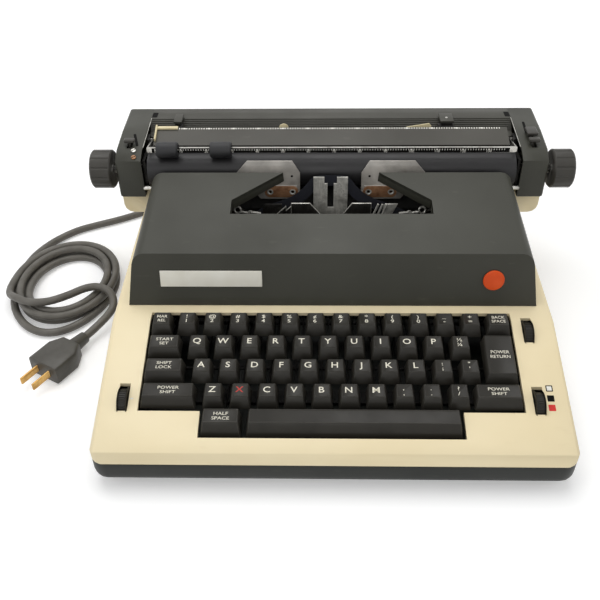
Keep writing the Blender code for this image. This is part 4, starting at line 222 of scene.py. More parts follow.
@dataclass(frozen=True)
class Finish:
    """A surface as a maker would order it, painted, moulded or plated.

    The colour drifts to a second shade in soft patches, the gloss varies with it, and a fine
    relief gives the grain.
    """

    name: str
    colour: Colour
    shade: Colour
    roughness: float = 0.5
    metallic: float = 0.0
    patch: float = 26.0
    grain: float = 1500.0
    relief: float = 0.00004
    strength: float = 0.25
    stretch: Triple = (1.0, 1.0, 1.0)
    gloss_drift: float = 0.08
    coat: float = 0.0
    sheen: float = 0.0
    specular: float = 0.3

    def build(self) -> bpy.types.Material:
        """Makes the material once and hands it out again after that."""
        made = bpy.data.materials.get(self.name)
        if made is not None:
            return made
        graph = Graph(self.name)
        self.paint(graph)
        graph.put(graph.shader, "Metallic", self.metallic)
        graph.put(graph.shader, "Coat Weight", self.coat)
        graph.put(graph.shader, "Coat Roughness", 0.2)
        graph.put(graph.shader, "Sheen Weight", self.sheen)
        graph.put(graph.shader, "Specular IOR Level", self.specular)
        graph.material.diffuse_color = linear(self.colour)
        return graph.material

    def paint(self, graph: Graph) -> None:
        """Joins colour, gloss and grain to the shader.

        Args:
            graph: The material's nodes.
        """
        patches = graph.noise(self.patch, 4.0)
        grain = graph.noise(self.grain, 2.0, self.stretch)
        tone = graph.mix(graph.spread(patches, 0.0, 1.0), linear(self.colour), linear(self.shade))
        graph.put(graph.shader, "Base Color", tone)
        graph.put(graph.shader, "Roughness", graph.spread(
            patches, self.roughness - self.gloss_drift, self.roughness + self.gloss_drift))
        graph.bump(grain, self.strength, self.relief)


@dataclass(frozen=True)
class SprayedSheet(Finish):
    """Sprayed sheet steel or case: fine orange-peel with paler rubbed specks."""

    rub: Colour = (120.0, 120.0, 110.0)
    rub_share: float = 0.35

    def paint(self, graph: Graph) -> None:
        """Adds worn specks to the plain finish.

        Args:
            graph: The material's nodes.
        """
        patches = graph.noise(self.patch, 5.0)
        peel = graph.noise(self.grain, 2.0)
        scuffs = graph.noise(140.0, 6.0, (0.35, 1.0, 1.0))
        tone = graph.mix(graph.spread(patches, 0.0, 1.0), linear(self.colour), linear(self.shade))
        worn = graph.mix(graph.spread(scuffs, 0.0, self.rub_share, 0.66, 0.78), tone, linear(self.rub))
        graph.put(graph.shader, "Base Color", worn)
        graph.put(graph.shader, "Roughness", graph.spread(
            patches, self.roughness - self.gloss_drift, self.roughness + self.gloss_drift))
        graph.bump(peel, self.strength, self.relief)


@dataclass(frozen=True)
class PlatedSteel(Finish):
    """Bright or blackened steel with the fine lines of its grinding and dull handled spots."""

    def paint(self, graph: Graph) -> None:
        """Draws the grinding lines out along the piece.

        Args:
            graph: The material's nodes.
        """
        lines = graph.noise(self.grain, 3.0, self.stretch)
        spots = graph.noise(160.0, 5.0)
        dulled = graph.mix(graph.spread(spots, 0.0, 1.0, 0.45, 0.7),
                           linear(self.colour), linear(self.shade))
        graph.put(graph.shader, "Base Color", graph.mix(
            graph.spread(lines, 0.0, 0.5), dulled, linear(self.shade)))
        graph.put(graph.shader, "Roughness", graph.spread(
            spots, self.roughness - self.gloss_drift, self.roughness + self.gloss_drift))
        graph.bump(lines, self.strength, self.relief)


class Finishes:
    """The finishes of this machine."""

    CREAM = SprayedSheet("cream_case", (240, 226, 190), (233, 217, 178), 0.42, patch=9.0, grain=900.0,
                         relief=0.00003, strength=0.18, rub=(222, 204, 164), rub_share=0.25)
    COVER = SprayedSheet("olive_cover", (56, 56, 48), (50, 50, 43), 0.5, patch=14.0, grain=1400.0,
                         relief=0.00005, strength=0.3, rub=(84, 84, 74), rub_share=0.35)
    CARRIAGE = SprayedSheet("olive_carriage", (64, 63, 56), (57, 56, 50), 0.48, patch=18.0, grain=1400.0,
                            relief=0.00005, strength=0.3, rub=(92, 91, 82), rub_share=0.3)
    BASE = SprayedSheet("dark_base", (38, 40, 36), (32, 34, 31), 0.42, patch=16.0, grain=1200.0,
                        relief=0.00004, strength=0.25, rub=(64, 66, 60), rub_share=0.3)
    KEY = Finish("key_plastic", (45, 43, 38), (38, 36, 32), 0.38, patch=60.0, grain=1800.0,
                 relief=0.00003, strength=0.25, specular=0.2)
    # Lighter colour for the keys' rounded edges: a painted highlight where the edges catch the light.
    KEY_EDGE_HIGHLIGHT = Finish("key_rubbed_edge", (84, 81, 74), (66, 64, 58), 0.34, patch=400.0, grain=1800.0)
    LEGEND = Finish("legend_ink", (236, 232, 216), (214, 209, 190), 0.5, patch=700.0, grain=2400.0)
    LEGEND_RED = Finish("legend_red", (196, 52, 38), (160, 40, 30), 0.5, patch=700.0, grain=2400.0)
    BLACK_INK = Finish("black_ink", (10, 10, 9), (18, 17, 16), 0.6, patch=500.0, grain=2400.0,
                       specular=0.05)
    WHITE_INK = Finish("white_ink", (238, 236, 228), (222, 219, 208), 0.5, patch=500.0, grain=2400.0)
    RUBBER = Finish("platen_rubber", (30, 29, 30), (36, 35, 36), 0.45, patch=40.0, grain=1200.0,
                    relief=0.00004, strength=0.25, stretch=(0.12, 1.0, 1.0))
    KNOB = Finish("knob_plastic", (60, 58, 53), (52, 50, 46), 0.42, patch=50.0, grain=1500.0)
    ROLLER = Finish("roller_rubber", (34, 34, 36), (42, 42, 43), 0.5, patch=70.0, grain=1600.0)
    PLATE = Finish("pale_plate", (232, 230, 220), (222, 219, 206), 0.35, patch=60.0, grain=1500.0,
                   relief=0.00002, strength=0.15)
    ORANGE = Finish("orange_badge", (226, 82, 16), (214, 72, 12), 0.36, patch=120.0, grain=1800.0)
    TABLE = SprayedSheet("lacquered_table", (65, 63, 56), (58, 56, 50), 0.46, patch=12.0, grain=1500.0,
                         relief=0.00004, strength=0.25, rub=(92, 88, 81), rub_share=0.25)
    IVORY = Finish("ivory_plastic", (224, 211, 172), (210, 196, 156), 0.4, patch=90.0, grain=1500.0)
    STEEL = PlatedSteel("bright_steel_looks", (196, 194, 188), (138, 136, 130), 0.3, 1.0, grain=1600.0,
                        stretch=(1.0, 0.1, 0.1), gloss_drift=0.1)
    NICKEL = PlatedSteel("dull_nickel", (224, 222, 214), (150, 148, 141), 0.34, 0.4, grain=1600.0,
                         stretch=(1.0, 0.1, 0.1), gloss_drift=0.1)
    DARK_STEEL = PlatedSteel("oiled_steel", (86, 84, 80), (52, 50, 47), 0.4, 0.9, grain=1500.0,
                             stretch=(1.0, 0.15, 0.15), gloss_drift=0.12)
    BLACK_STEEL = PlatedSteel("blackened_steel", (40, 39, 37), (26, 25, 24), 0.45, 0.5, grain=1500.0)
    COPPER = PlatedSteel("coppered_steel", (178, 134, 100), (132, 94, 66), 0.4, 0.35, grain=1500.0,
                         stretch=(0.2, 1.0, 1.0))
    BRASS = PlatedSteel("brass_blades", (206, 168, 104), (166, 128, 74), 0.3, 1.0, grain=1600.0,
                        stretch=(1.0, 1.0, 0.2))
    SMOKE = Finish("smoked_plate", (198, 193, 185), (122, 118, 112), 0.3, 0.0, patch=48.0, grain=900.0,
                   relief=0.00002, strength=0.12, gloss_drift=0.1, coat=0.5)
    CORD = Finish("cord_jacket", (102, 99, 93), (90, 87, 81), 0.44, patch=90.0, grain=1500.0,
                  relief=0.00005, strength=0.3)
    PLUG = Finish("plug_vinyl", (80, 78, 73), (70, 68, 63), 0.42, patch=90.0, grain=1500.0,
                  relief=0.00005, strength=0.3)
    RIBBON = Finish("inked_ribbon", (34, 36, 46), (22, 23, 30), 0.6, patch=120.0, grain=2600.0,
                    relief=0.00008, strength=0.5, sheen=0.2)
    RED = Finish("red_mark", (206, 40, 34), (190, 34, 28), 0.45, patch=200.0, grain=2000.0)
    FOOT = Finish("foot_rubber", (30, 30, 30), (40, 39, 38), 0.7, patch=90.0, grain=1500.0)


class Bench:
    """Modelling moves that every sub-assembly shares."""

    @staticmethod
    def clear() -> None:
        """Deselects everything."""
        bpy.ops.object.select_all(action="DESELECT")

    @staticmethod
    def take(piece: bpy.types.Object) -> bpy.types.Object:
        """Selects one piece alone and makes it the active one.

        Args:
            piece: The piece to work on.

        Returns:
            The same piece.
        """
        Bench.clear()
        piece.select_set(True)
        bpy.context.view_layer.objects.active = piece
        return piece

    @staticmethod
    @contextmanager
    def faces(piece: bpy.types.Object, picked: Picker) -> Iterator[None]:
        """Opens a piece in edit mode with the faces that a test picks by middle and normal.

        Args:
            piece: The piece, already at its place.
            picked: Test of a face's middle and normal.
        """
        Bench.take(piece)
        bpy.context.tool_settings.mesh_select_mode = (False, False, True)
        mesh = piece.data
        mesh.vertices.foreach_set("select", [False] * len(mesh.vertices))
        mesh.edges.foreach_set("select", [False] * len(mesh.edges))
        for face in mesh.polygons:
            face.select = picked(face.center, face.normal)
        bpy.ops.object.mode_set(mode="EDIT")
        try:
            yield
        finally:
            bpy.ops.object.mode_set(mode="OBJECT")

    @staticmethod
    def settle(piece: bpy.types.Object, name: str) -> bpy.types.Object:
        """Names a new piece and brings its place into its mesh.

        Args:
            piece: A new primitive.
            name: Its name.

        Returns:
            The same piece at the origin.
        """
        Bench.take(piece)
        piece.name = name
        piece.data.name = name
        bpy.ops.object.transform_apply(location=True, rotation=True, scale=True)
        return piece

    @staticmethod
    def block(name: str, low: Sequence[float], high: Sequence[float]) -> bpy.types.Object:
        """A box between two corners, as the start of a piece.

        Args:
            name: The piece's name.
            low: Lowest corner.
            high: Highest corner.

        Returns:
            The block.
        """
        low_corner, high_corner = Vector(low), Vector(high)
        Bench.clear()
        bpy.ops.mesh.primitive_cube_add(size=1.0, location=(low_corner + high_corner) / 2,
                                        scale=high_corner - low_corner)
        return Bench.settle(bpy.context.object, name)

    @staticmethod
    def disc(name: str, centre: Sequence[float], radius: float, depth: float, axis: Axis,
             steps: int = 32) -> bpy.types.Object:
        """A round blank, as the start of a turned piece.

        Args:
            name: The piece's name.
            centre: Its middle.
            radius: Its radius.
            depth: Its length along the axis.
            axis: The way it points.
            steps: Sides.

        Returns:
            The blank.
        """
        Bench.clear()
        bpy.ops.mesh.primitive_cylinder_add(vertices=steps, radius=radius, depth=depth,
                                            location=centre, rotation=axis.turn.to_euler())
        return Bench.settle(bpy.context.object, name)

    @staticmethod
    def bar(name: str, start: Sequence[float], end: Sequence[float], radius: float,
            steps: int = 12) -> bpy.types.Object:
        """A round bar between two points, with its ends eased.

        Args:
            name: The bar's name.
            start: One end.
            end: The other end.
            radius: Its radius.
            steps: Sides.

        Returns:
            The bar.
        """
        first, last = Vector(start), Vector(end)
        run = last - first
        Bench.clear()
        bpy.ops.mesh.primitive_cylinder_add(vertices=steps, radius=radius, depth=run.length,
                                            location=(first + last) / 2,
                                            rotation=run.to_track_quat("Z", "Y").to_euler())
        made = Bench.settle(bpy.context.object, name)
        return Bench.smooth(Bench.bevel(made, radius / 5, 1, 60.0))

    @staticmethod
    def cut(piece: bpy.types.Object, point: Sequence[float], normal: Sequence[float],
            drop: bool = True) -> bpy.types.Object:
        """Saws a piece along a plane.

        Args:
            piece: The piece, in place.
            point: A point of the plane.
            normal: The plane's normal, towards the side that drops off.
            drop: Whether that side drops off, or only gets an edge there.

        Returns:
            The same piece.
        """
        with Bench.faces(piece, lambda middle, facing: True):
            bpy.ops.mesh.bisect(plane_co=point, plane_no=normal, use_fill=drop, clear_outer=drop)
        return piece

    @staticmethod
    def round_ends(piece: bpy.types.Object, axis: Axis, width: float,
                   segments: int = 6) -> bpy.types.Object:
        """Rounds the edges of a piece that run along one axis.

        Args:
            piece: The piece, in place.
            axis: The way the edges run.
            width: Width of the round.
            segments: Steps in the round.

        Returns:
            The same piece.
        """
        Bench.take(piece)
        mesh = piece.data
        bpy.context.tool_settings.mesh_select_mode = (False, True, False)
        mesh.vertices.foreach_set("select", [False] * len(mesh.vertices))
        mesh.polygons.foreach_set("select", [False] * len(mesh.polygons))
        for edge in mesh.edges:
            run = mesh.vertices[edge.vertices[0]].co - mesh.vertices[edge.vertices[1]].co
            edge.select = abs(run.dot(axis.vector)) > 0.99 * run.length
        bpy.ops.object.mode_set(mode="EDIT")
        bpy.ops.mesh.bevel(offset=width, segments=segments, affect="EDGES")
        bpy.ops.object.mode_set(mode="OBJECT")
        return piece

    @staticmethod
    def bevel(piece: bpy.types.Object, width: float, segments: int = 2, angle: float = 40.0,
              edge_highlight: Finish | None = None) -> bpy.types.Object:
        """Rounds a piece's sharp edges.

        Args:
            piece: The piece.
            width: Width of the round.
            segments: Steps in the round.
            angle: Edges that turn more than this many degrees are rounded.
            edge_highlight: The finish of the rounds themselves, if it differs; a lighter one is a painted
                highlight along the edges.

        Returns:
            The same piece.
        """
        Bench.take(piece)
        tool = piece.modifiers.new("edge", "BEVEL")
        tool.width = width
        tool.segments = segments
        tool.limit_method = "ANGLE"
        tool.angle_limit = math.radians(angle)
        tool.use_clamp_overlap = True
        # A lighter finish on the rounds paints a highlight along the edges.
        if edge_highlight is not None:
            piece.data.materials.append(edge_highlight.build())
            tool.material = len(piece.data.materials) - 1
        bpy.ops.object.modifier_apply(modifier=tool.name)
        return piece

    @staticmethod
    def smooth(piece: bpy.types.Object, angle: float = SOFT_ANGLE) -> bpy.types.Object:
        """Shades a piece smooth where it turns less than an angle."""
        Bench.take(piece)
        bpy.ops.object.shade_smooth_by_angle(angle=angle)
        return piece

    @staticmethod
    def repeat(piece: bpy.types.Object, count: int, step: Sequence[float]) -> bpy.types.Object:
        """Copies a piece along a line, in one mesh.

        Args:
            piece: The piece that repeats.
            count: How many there are.
            step: From one to the next.

        Returns:
            The same piece with its copies.
        """
        Bench.take(piece)
        tool = piece.modifiers.new("row", "ARRAY")
        tool.use_relative_offset = False
        tool.use_constant_offset = True
        tool.constant_offset_displace = step
        tool.count = count
        bpy.ops.object.modifier_apply(modifier=tool.name)
        return piece

    @staticmethod
    def join(name: str, pieces: Sequence[bpy.types.Object]) -> bpy.types.Object:
        """Makes several pieces one object.

        Args:
            name: The object's name.
            pieces: What it is made of.

        Returns:
            The object.
        """
        Bench.take(pieces[0])
        for piece in pieces:
            piece.select_set(True)
        if len(pieces) > 1:
            bpy.ops.object.join()
        joined = bpy.context.view_layer.objects.active
        joined.name = name
        joined.data.name = name
        return joined

    @staticmethod
    def coat(piece: bpy.types.Object, finish: Finish) -> bpy.types.Object:
        """Gives a piece one finish all over."""
        piece.data.materials.clear()
        piece.data.materials.append(finish.build())
        return piece

    @staticmethod
    def touch(piece: bpy.types.Object, finish: Finish, picked: Picker) -> None:
        """Gives some of a piece's faces another finish.

        Args:
            piece: The piece.
            finish: The other finish.
            picked: Test of a face's middle and normal.
        """
        piece.data.materials.append(finish.build())
        index = len(piece.data.materials) - 1
        for face in piece.data.polygons:
            if picked(face.center, face.normal):
                face.material_index = index

    @staticmethod
    def letters(words: str, size: float, place: Matrix, weight: float = 0.0,
                squeeze: float = 1.0) -> bpy.types.Object:
        """Printed lettering as a thin mesh.

        Args:
            words: The text, with line breaks where it has more than one line.
            size: Height of the type's body in metres.
            place: Where its middle goes, with its own Z off the surface.
            weight: How much thicker than the plain type its strokes are.
            squeeze: Its width as a share of the plain type's.

        Returns:
            The lettering.
        """
        Bench.clear()
        bpy.ops.object.text_add()
        text = bpy.context.object
        text.data.body = words
        text.data.size = size
        text.data.align_x = "CENTER"
        text.data.align_y = "CENTER"
        text.data.space_line = 1.08
        text.data.resolution_u = 3
        text.data.offset = weight
        text.data.extrude = HAIR / 4
        Bench.take(text)
        bpy.ops.object.convert(target="MESH")
        made = bpy.context.object
        made.data.transform(place @ Matrix.Diagonal((squeeze, 1.0, 1.0, 1.0)))
        return made


@dataclass(frozen=True)
class Inlay:
    """A part of a node that has a finish of its own, with the planes that bound it."""

    finish: Finish
    picked: Picker
    planes: tuple[tuple[Triple, Triple], ...] = ()


@dataclass
class Frame:
    """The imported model: its nodes, and the pieces that are fitted to them."""

    nodes: dict[str, bpy.types.Object]
    trees: dict[str, BVHTree] = field(default_factory=dict)

    def body(self, node: str) -> str:
        """Name of the body that a node rides on."""
        return self.nodes[node]["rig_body"]

    def paint(self, node: str, finish: Finish) -> bpy.types.Object:
        """Keeps a node as it is, with a finish of its own.

        Args:
            node: The node's name.
            finish: Its finish.

        Returns:
            The node's object.
        """
        return Bench.coat(self.nodes[node], finish)

    def refine(self, node: str, finish: Finish, edge: float = 0.0, angle: float = SOFT_ANGLE,
               inlays: Sequence[Inlay] = (), shape: Shaper | None = None,
               edge_highlight: Finish | None = None) -> bpy.types.Object:
        """Dresses a node in a copy of itself whose faces are joined, rounded and shaded smooth.

        Args:
            node: The node's name.
            finish: The copy's finish.
            edge: Width of the round on its sharp edges, or zero.
            angle: Faces that turn less than this are shaded as one.
            inlays: Parts of it with another finish.
            shape: What else is done to its edges before they are rounded.
            edge_highlight: The finish of its rounded edges, if it differs; a lighter one is a painted highlight
                along them.

        Returns:
            The copy, which replaces the node.
        """
        source = self.nodes[node]
        piece = bpy.data.objects.new(node + "_dressed", source.data.copy())
        bpy.context.scene.collection.objects.link(piece)
        piece.data.name = piece.name
        with Bench.faces(piece, lambda middle, normal: True):
            bpy.ops.mesh.remove_doubles(threshold=MERGE)
        Bench.coat(piece, finish)
        for inlay in inlays:
            for point, normal in inlay.planes:
                Bench.cut(piece, point, normal, drop=False)
            Bench.touch(piece, inlay.finish, inlay.picked)
        with Bench.faces(piece, lambda middle, normal: True):
            bpy.ops.mesh.dissolve_limited(angle_limit=FLAT_ANGLE, delimit={"MATERIAL"})
        if shape is not None:
            shape(piece)
        if edge:
            Bench.bevel(piece, edge, edge_highlight=edge_highlight)
        Bench.smooth(piece, angle)
        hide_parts(node)
        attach(piece, self.body(node))
        LOG.info("dressed %s", node)
        return piece

    def fit(self, piece: bpy.types.Object, body: str, finish: Finish | None = None) -> bpy.types.Object:
        """Finishes a new piece and lets it ride on its body.

        Args:
            piece: The new piece, in place.
            body: The body that carries it.
            finish: Its finish, if it has none yet.

        Returns:
            The same piece.
        """
        if finish is not None:
            Bench.coat(piece, finish)
        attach(piece, body)
        LOG.info("fitted %s on %s", piece.name, body)
        return piece

    def top_at(self, node: str, x: float, y: float) -> tuple[Vector, Vector]:
        """Where a plumb line from above meets a node, with the surface's normal there.

        Args:
            node: The node's name.
            x: Place across.
            y: Place from front to rear.

        Returns:
            The point and the normal.
        """
        if node not in self.trees:
            mesh = self.nodes[node].data
            self.trees[node] = BVHTree.FromPolygons(
                [corner.co for corner in mesh.vertices], [face.vertices for face in mesh.polygons])
        point, normal, _, _ = self.trees[node].ray_cast(Vector((x, y, 0.3)), Vector((0.0, 0.0, -1.0)))
        if point is None:
            raise ValueError(f"nothing of {node} lies under {x:.4f}, {y:.4f}")
        return point, normal

    def lie_on(self, node: str, x: float, y: float, lift: float = HAIR) -> Matrix:
        """Placement flat on a node, with its own X level and its Z off the surface.

        Args:
            node: The node's name.
            x: Place across.
            y: Place from front to rear.
            lift: How far off the surface.

        Returns:
            The placement.
        """
        point, normal = self.top_at(node, x, y)
        across = Vector((1.0, 0.0, 0.0))
        across = (across - normal * across.dot(normal)).normalized()
        up = normal.cross(across)
        turn = Matrix((across, up, normal)).transposed().to_4x4()
        return Matrix.Translation(point + normal * lift) @ turn


@dataclass
class Studio:
    """Camera, lamps, floor and sky."""

    eye: Triple = (-0.0104, -0.4861, 0.4303)
    yaw: float = 1.725
    pitch: float = 38.9
    roll: float = -0.93
    focal_pixels: float = 759.6
    frame_pixels: float = 600.0
    sensor: float = 36.0
    floor_size: float = 8.0

    def aim(self) -> None:
        """Sets the camera up as the photograph's."""
        yaw, pitch, roll = (math.radians(value) for value in (self.yaw, self.pitch, self.roll))
        level = math.cos(pitch)
        forward = Vector((-level * math.sin(yaw), level * math.cos(yaw), -math.sin(pitch)))
        right = Vector((math.cos(yaw), math.sin(yaw), 0.0))
        up = right.cross(forward)
        turned_right = right * math.cos(roll) + up * math.sin(roll)
        turned_up = up * math.cos(roll) - right * math.sin(roll)
        turn = Matrix((turned_right, turned_up, -forward)).transposed().to_4x4()
        data = bpy.data.cameras.new("camera")
        data.sensor_width = self.sensor
        data.lens = self.focal_pixels / self.frame_pixels * self.sensor
        data.clip_start = 0.01
        camera = bpy.data.objects.new("camera", data)
        bpy.context.scene.collection.objects.link(camera)
        camera.matrix_world = Matrix.Translation(self.eye) @ turn
        bpy.context.scene.camera = camera

    def lamp(self, name: str, place: Triple, aim: Triple, size: float, power: float) -> None:
        """Hangs one soft square lamp.

        Args:
            name: The lamp's name.
            place: Where it hangs.
            aim: What it points at.
            size: Length of its side.
            power: Its watts.
        """
        data = bpy.data.lights.new(name, "AREA")
        data.size = size
        data.energy = power
        lamp = bpy.data.objects.new(name, data)
        bpy.context.scene.collection.objects.link(lamp)
        lamp.location = place
        lamp.rotation_mode = "QUATERNION"
        lamp.rotation_quaternion = (Vector(aim) - Vector(place)).to_track_quat("-Z", "Y")

    def light(self) -> None:
        """Hangs the lamps and sets the view transform."""
        self.lamp("top_lamp", (-0.15, 0.40, 1.5), (0.0, 0.0, 0.05), 1.3, 14.4)
        self.lamp("left_lamp", (-1.3, -0.5, 1.0), (0.0, 0.0, 0.08), 0.9, 3.8)
        self.lamp("right_lamp", (1.3, -0.2, 1.0), (0.0, 0.0, 0.08), 0.9, 2.8)
        self.lamp("front_lamp", (-0.1, -1.4, 0.9), (0.0, 0.0, 0.06), 0.9, 4.3)
        bpy.context.scene.view_settings.view_transform = "Standard"

    @staticmethod
    def seen(nodes: bpy.types.Nodes, links: bpy.types.NodeLinks) -> bpy.types.NodeSocket:
        """One where a ray comes from the camera, a mirror or glass, and zero elsewhere."""
        path = nodes.new("ShaderNodeLightPath")
        total = path.outputs["Is Camera Ray"]
        for name in ("Is Glossy Ray", "Is Transmission Ray"):
            node = nodes.new("ShaderNodeMath")
            node.operation = "ADD"
            node.use_clamp = True
            links.new(total, node.inputs[0])
            links.new(path.outputs[name], node.inputs[1])
            total = node.outputs[0]
        return total

    def sky(self) -> None:
        """A plain pale world, white where it is seen."""
        world = bpy.data.worlds.new("sky")
        bpy.context.scene.world = world
        world.use_nodes = True
        nodes, links = world.node_tree.nodes, world.node_tree.links
        background = nodes["Background"]
        background.inputs["Color"].default_value = (1.0, 1.0, 1.0, 1.0)
        level = nodes.new("ShaderNodeMapRange")
        level.inputs["To Min"].default_value = 0.34
        level.inputs["To Max"].default_value = 1.0
        links.new(self.seen(nodes, links), level.inputs["Value"])
        links.new(level.outputs["Result"], background.inputs["Strength"])

    def floor(self) -> None:
        """A pale floor that keeps the object's shadow and is otherwise white."""
        Bench.clear()
        bpy.ops.mesh.primitive_plane_add(size=self.floor_size, location=(0.0, 0.0, 0.0))
        floor = bpy.context.object
        floor.name = "floor"
        graph = Graph("floor_paper")
        tone = graph.mix(graph.noise(3.0, 3.0), (0.88, 0.88, 0.88, 1.0), (0.86, 0.86, 0.855, 1.0))
        graph.put(graph.shader, "Base Color", tone)
        graph.put(graph.shader, "Roughness", 0.9)
        graph.put(graph.shader, "Specular IOR Level", 0.1)
        graph.bump(graph.noise(400.0, 2.0), 0.05, 0.0002)
        graph.put(graph.shader, "Emission Color", (1.0, 1.0, 1.0, 1.0))
        away = graph.nodes.new("ShaderNodeVectorMath")
        away.operation = "LENGTH"
        graph.links.new(graph.place, away.inputs[0])
        lift = graph.nodes.new("ShaderNodeMath")
        lift.operation = "MULTIPLY"
        graph.links.new(graph.spread(away.outputs["Value"], 0.28, 0.9, 0.45, 1.2), lift.inputs[1])
        graph.links.new(self.seen(graph.nodes, graph.links), lift.inputs[0])
        graph.put(graph.shader, "Emission Strength", lift.outputs[0])
        floor.data.materials.append(graph.material)

    def build(self) -> None:
        """Sets the whole studio up."""
        self.aim()
        self.light()
        self.sky()
        self.floor()


@dataclass
class MainsCord:
    """The free mains lead: out of its relief, to the coil on the left, and on to the plug."""

    radius: float = 0.0034
    lift: float = 0.0003
    length: float = 1.62
    turns: int = 4
    layers: int = 2
    centre: tuple[float, float] = (-0.2400, 0.0620)
    half_width: float = 0.0510
    half_depth: float = 0.0620
    turn_step: float = 0.0076
    layer_step: float = 0.0074
    points_per_turn: int = 24
    stray: float = 0.0090
    lead: tuple[Triple, ...] = (
        (-0.1180, 0.1600, 0.0165), (-0.1180, 0.1840, 0.0165), (-0.1182, 0.1920, 0.0156),
        (-0.1215, 0.2040, 0.0116), (-0.1300, 0.2140, 0.0066), (-0.1430, 0.2170, 0.0040),
        (-0.1600, 0.2130, 0.0037), (-0.1780, 0.2010, 0.0037), (-0.1950, 0.1870, 0.0037),
        (-0.2160, 0.1740, 0.0037), (-0.2360, 0.1640, 0.0037), (-0.2530, 0.1545, 0.0037),
        (-0.2660, 0.1420, 0.0037), (-0.2765, 0.1275, 0.0037), (-0.2845, 0.1100, 0.0037),
        (-0.2880, 0.0920, 0.0037), (-0.2876, 0.0780, 0.0037), (-0.2876, 0.0691, 0.0037))
    tail: tuple[Triple, ...] = (
        (-0.2876, 0.0549, 0.0111), (-0.2874, 0.0480, 0.0113), (-0.2835, 0.0370, 0.0140),
        (-0.2745, 0.0270, 0.0180), (-0.2600, 0.0195, 0.0190), (-0.2440, 0.0205, 0.0190),
        (-0.2290, 0.0290, 0.0190), (-0.2170, 0.0385, 0.0190), (-0.2060, 0.0415, 0.0190),
        (-0.1955, 0.0370, 0.0184), (-0.1892, 0.0280, 0.0164), (-0.1880, 0.0180, 0.0140),
        (-0.1917, 0.0090, 0.0118), (-0.1985, -0.0028, 0.0098), (-0.2047, -0.0135, 0.0091))

    @staticmethod
    def smooth_route(route: Sequence[Triple], steps: int) -> list[Vector]:
        """Points on a smooth curve through a route.

        Args:
            route: The points it goes through.
            steps: Steps from one to the next.

        Returns:
            The finer points.
        """
        knots = [Vector(point) for point in route]
        padded = [2 * knots[0] - knots[1]] + knots + [2 * knots[-1] - knots[-2]]
        curve = []
        for i in range(1, len(padded) - 2):
            before, here, after, beyond = padded[i - 1:i + 3]
            for step in range(steps):
                t = step / steps
                bend = 2 * before - 5 * here + 4 * after - beyond
                twist = 3 * here - before - 3 * after + beyond
                curve.append((2 * here + (after - before) * t + bend * t * t + twist * t ** 3) / 2)
        curve.append(knots[-1])
        return curve

    def coil(self) -> list[Vector]:
        """Centre line of the coil, which spirals in, climbs a layer and spirals out."""
        per_layer = self.turns // self.layers
        points = []
        for i in range(self.turns * self.points_per_turn + 1):
            turn = i / self.points_per_turn
            inward = turn if turn <= per_layer else 2 * per_layer - turn
            climb = min(1.0, max(0.0, (turn - per_layer + 0.25) / 0.5))
            climb = climb * climb * (3.0 - 2.0 * climb)
            angle = math.pi + 2 * math.pi * turn
            stray = self.stray * math.sin(angle) ** 2 if turn < 0.5 else 0.0
            wide = self.half_width - self.radius - inward * self.turn_step
            deep = self.half_depth - self.radius - inward * self.turn_step + stray
            points.append(Vector((self.centre[0] + wide * math.cos(angle),
                                  self.centre[1] + deep * math.sin(angle),
                                  self.radius + self.lift + climb * self.layer_step)))
        return points

    def build(self, frame: Frame) -> None:
        """Lays the cord and dresses its relief and plug.

        Args:
            frame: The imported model.
        """
        path = self.smooth_route(self.lead, 3)[:-1] + self.coil() + self.smooth_route(self.tail, 3)[1:]
        curve = bpy.data.curves.new("mains_cord", "CURVE")
        curve.dimensions = "3D"
        curve.bevel_depth = self.radius
        curve.bevel_resolution = 5
        curve.use_fill_caps = True
        spline = curve.splines.new("NURBS")
        spline.points.add(len(path) - 1)
        for point, place in zip(spline.points, path):
            point.co = (*place, 1.0)
        spline.order_u = 3
        spline.use_endpoint_u = True
        spline.resolution_u = 4
        cord = bpy.data.objects.new("mains_cord", curve)
        bpy.context.scene.collection.objects.link(cord)
        Bench.coat(cord, Finishes.CORD)
        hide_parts("cord_lead", "cord_coil", "cord_tail")
        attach(cord, frame.body("cord_lead"))
        relief = frame.refine("strain_relief", Finishes.CORD)
        plug = frame.refine("plug", Finishes.PLUG, edge=0.0004)
        Bench.touch(plug, Finishes.BRASS, self.on_blade)
        run = sum((b - a).length for a, b in zip(path, path[1:]))
        LOG.info("cord runs %.3f m", run)

    @staticmethod
    def on_blade(middle: Vector, normal: Vector) -> bool:
        """Whether a face of the plug belongs to its blades."""
        heading = Vector((math.cos(math.radians(240.0)), math.sin(math.radians(240.0)), 0.0))
        along = (middle - Vector((-0.2050, -0.0140, 0.0091))).dot(heading)
        return along > 0.0473


@dataclass(frozen=True)
class KeyRow:
    """One row of character keys: where its first cap stands and what its caps say."""

    node: str
    first_x: float
    row: int
    legends: tuple[str, ...]


@dataclass(frozen=True)
class WordKey:
    """One wide key with a word on it."""

    node: str
    x: float
    row: float
    words: str
    squeeze: float = 1.25


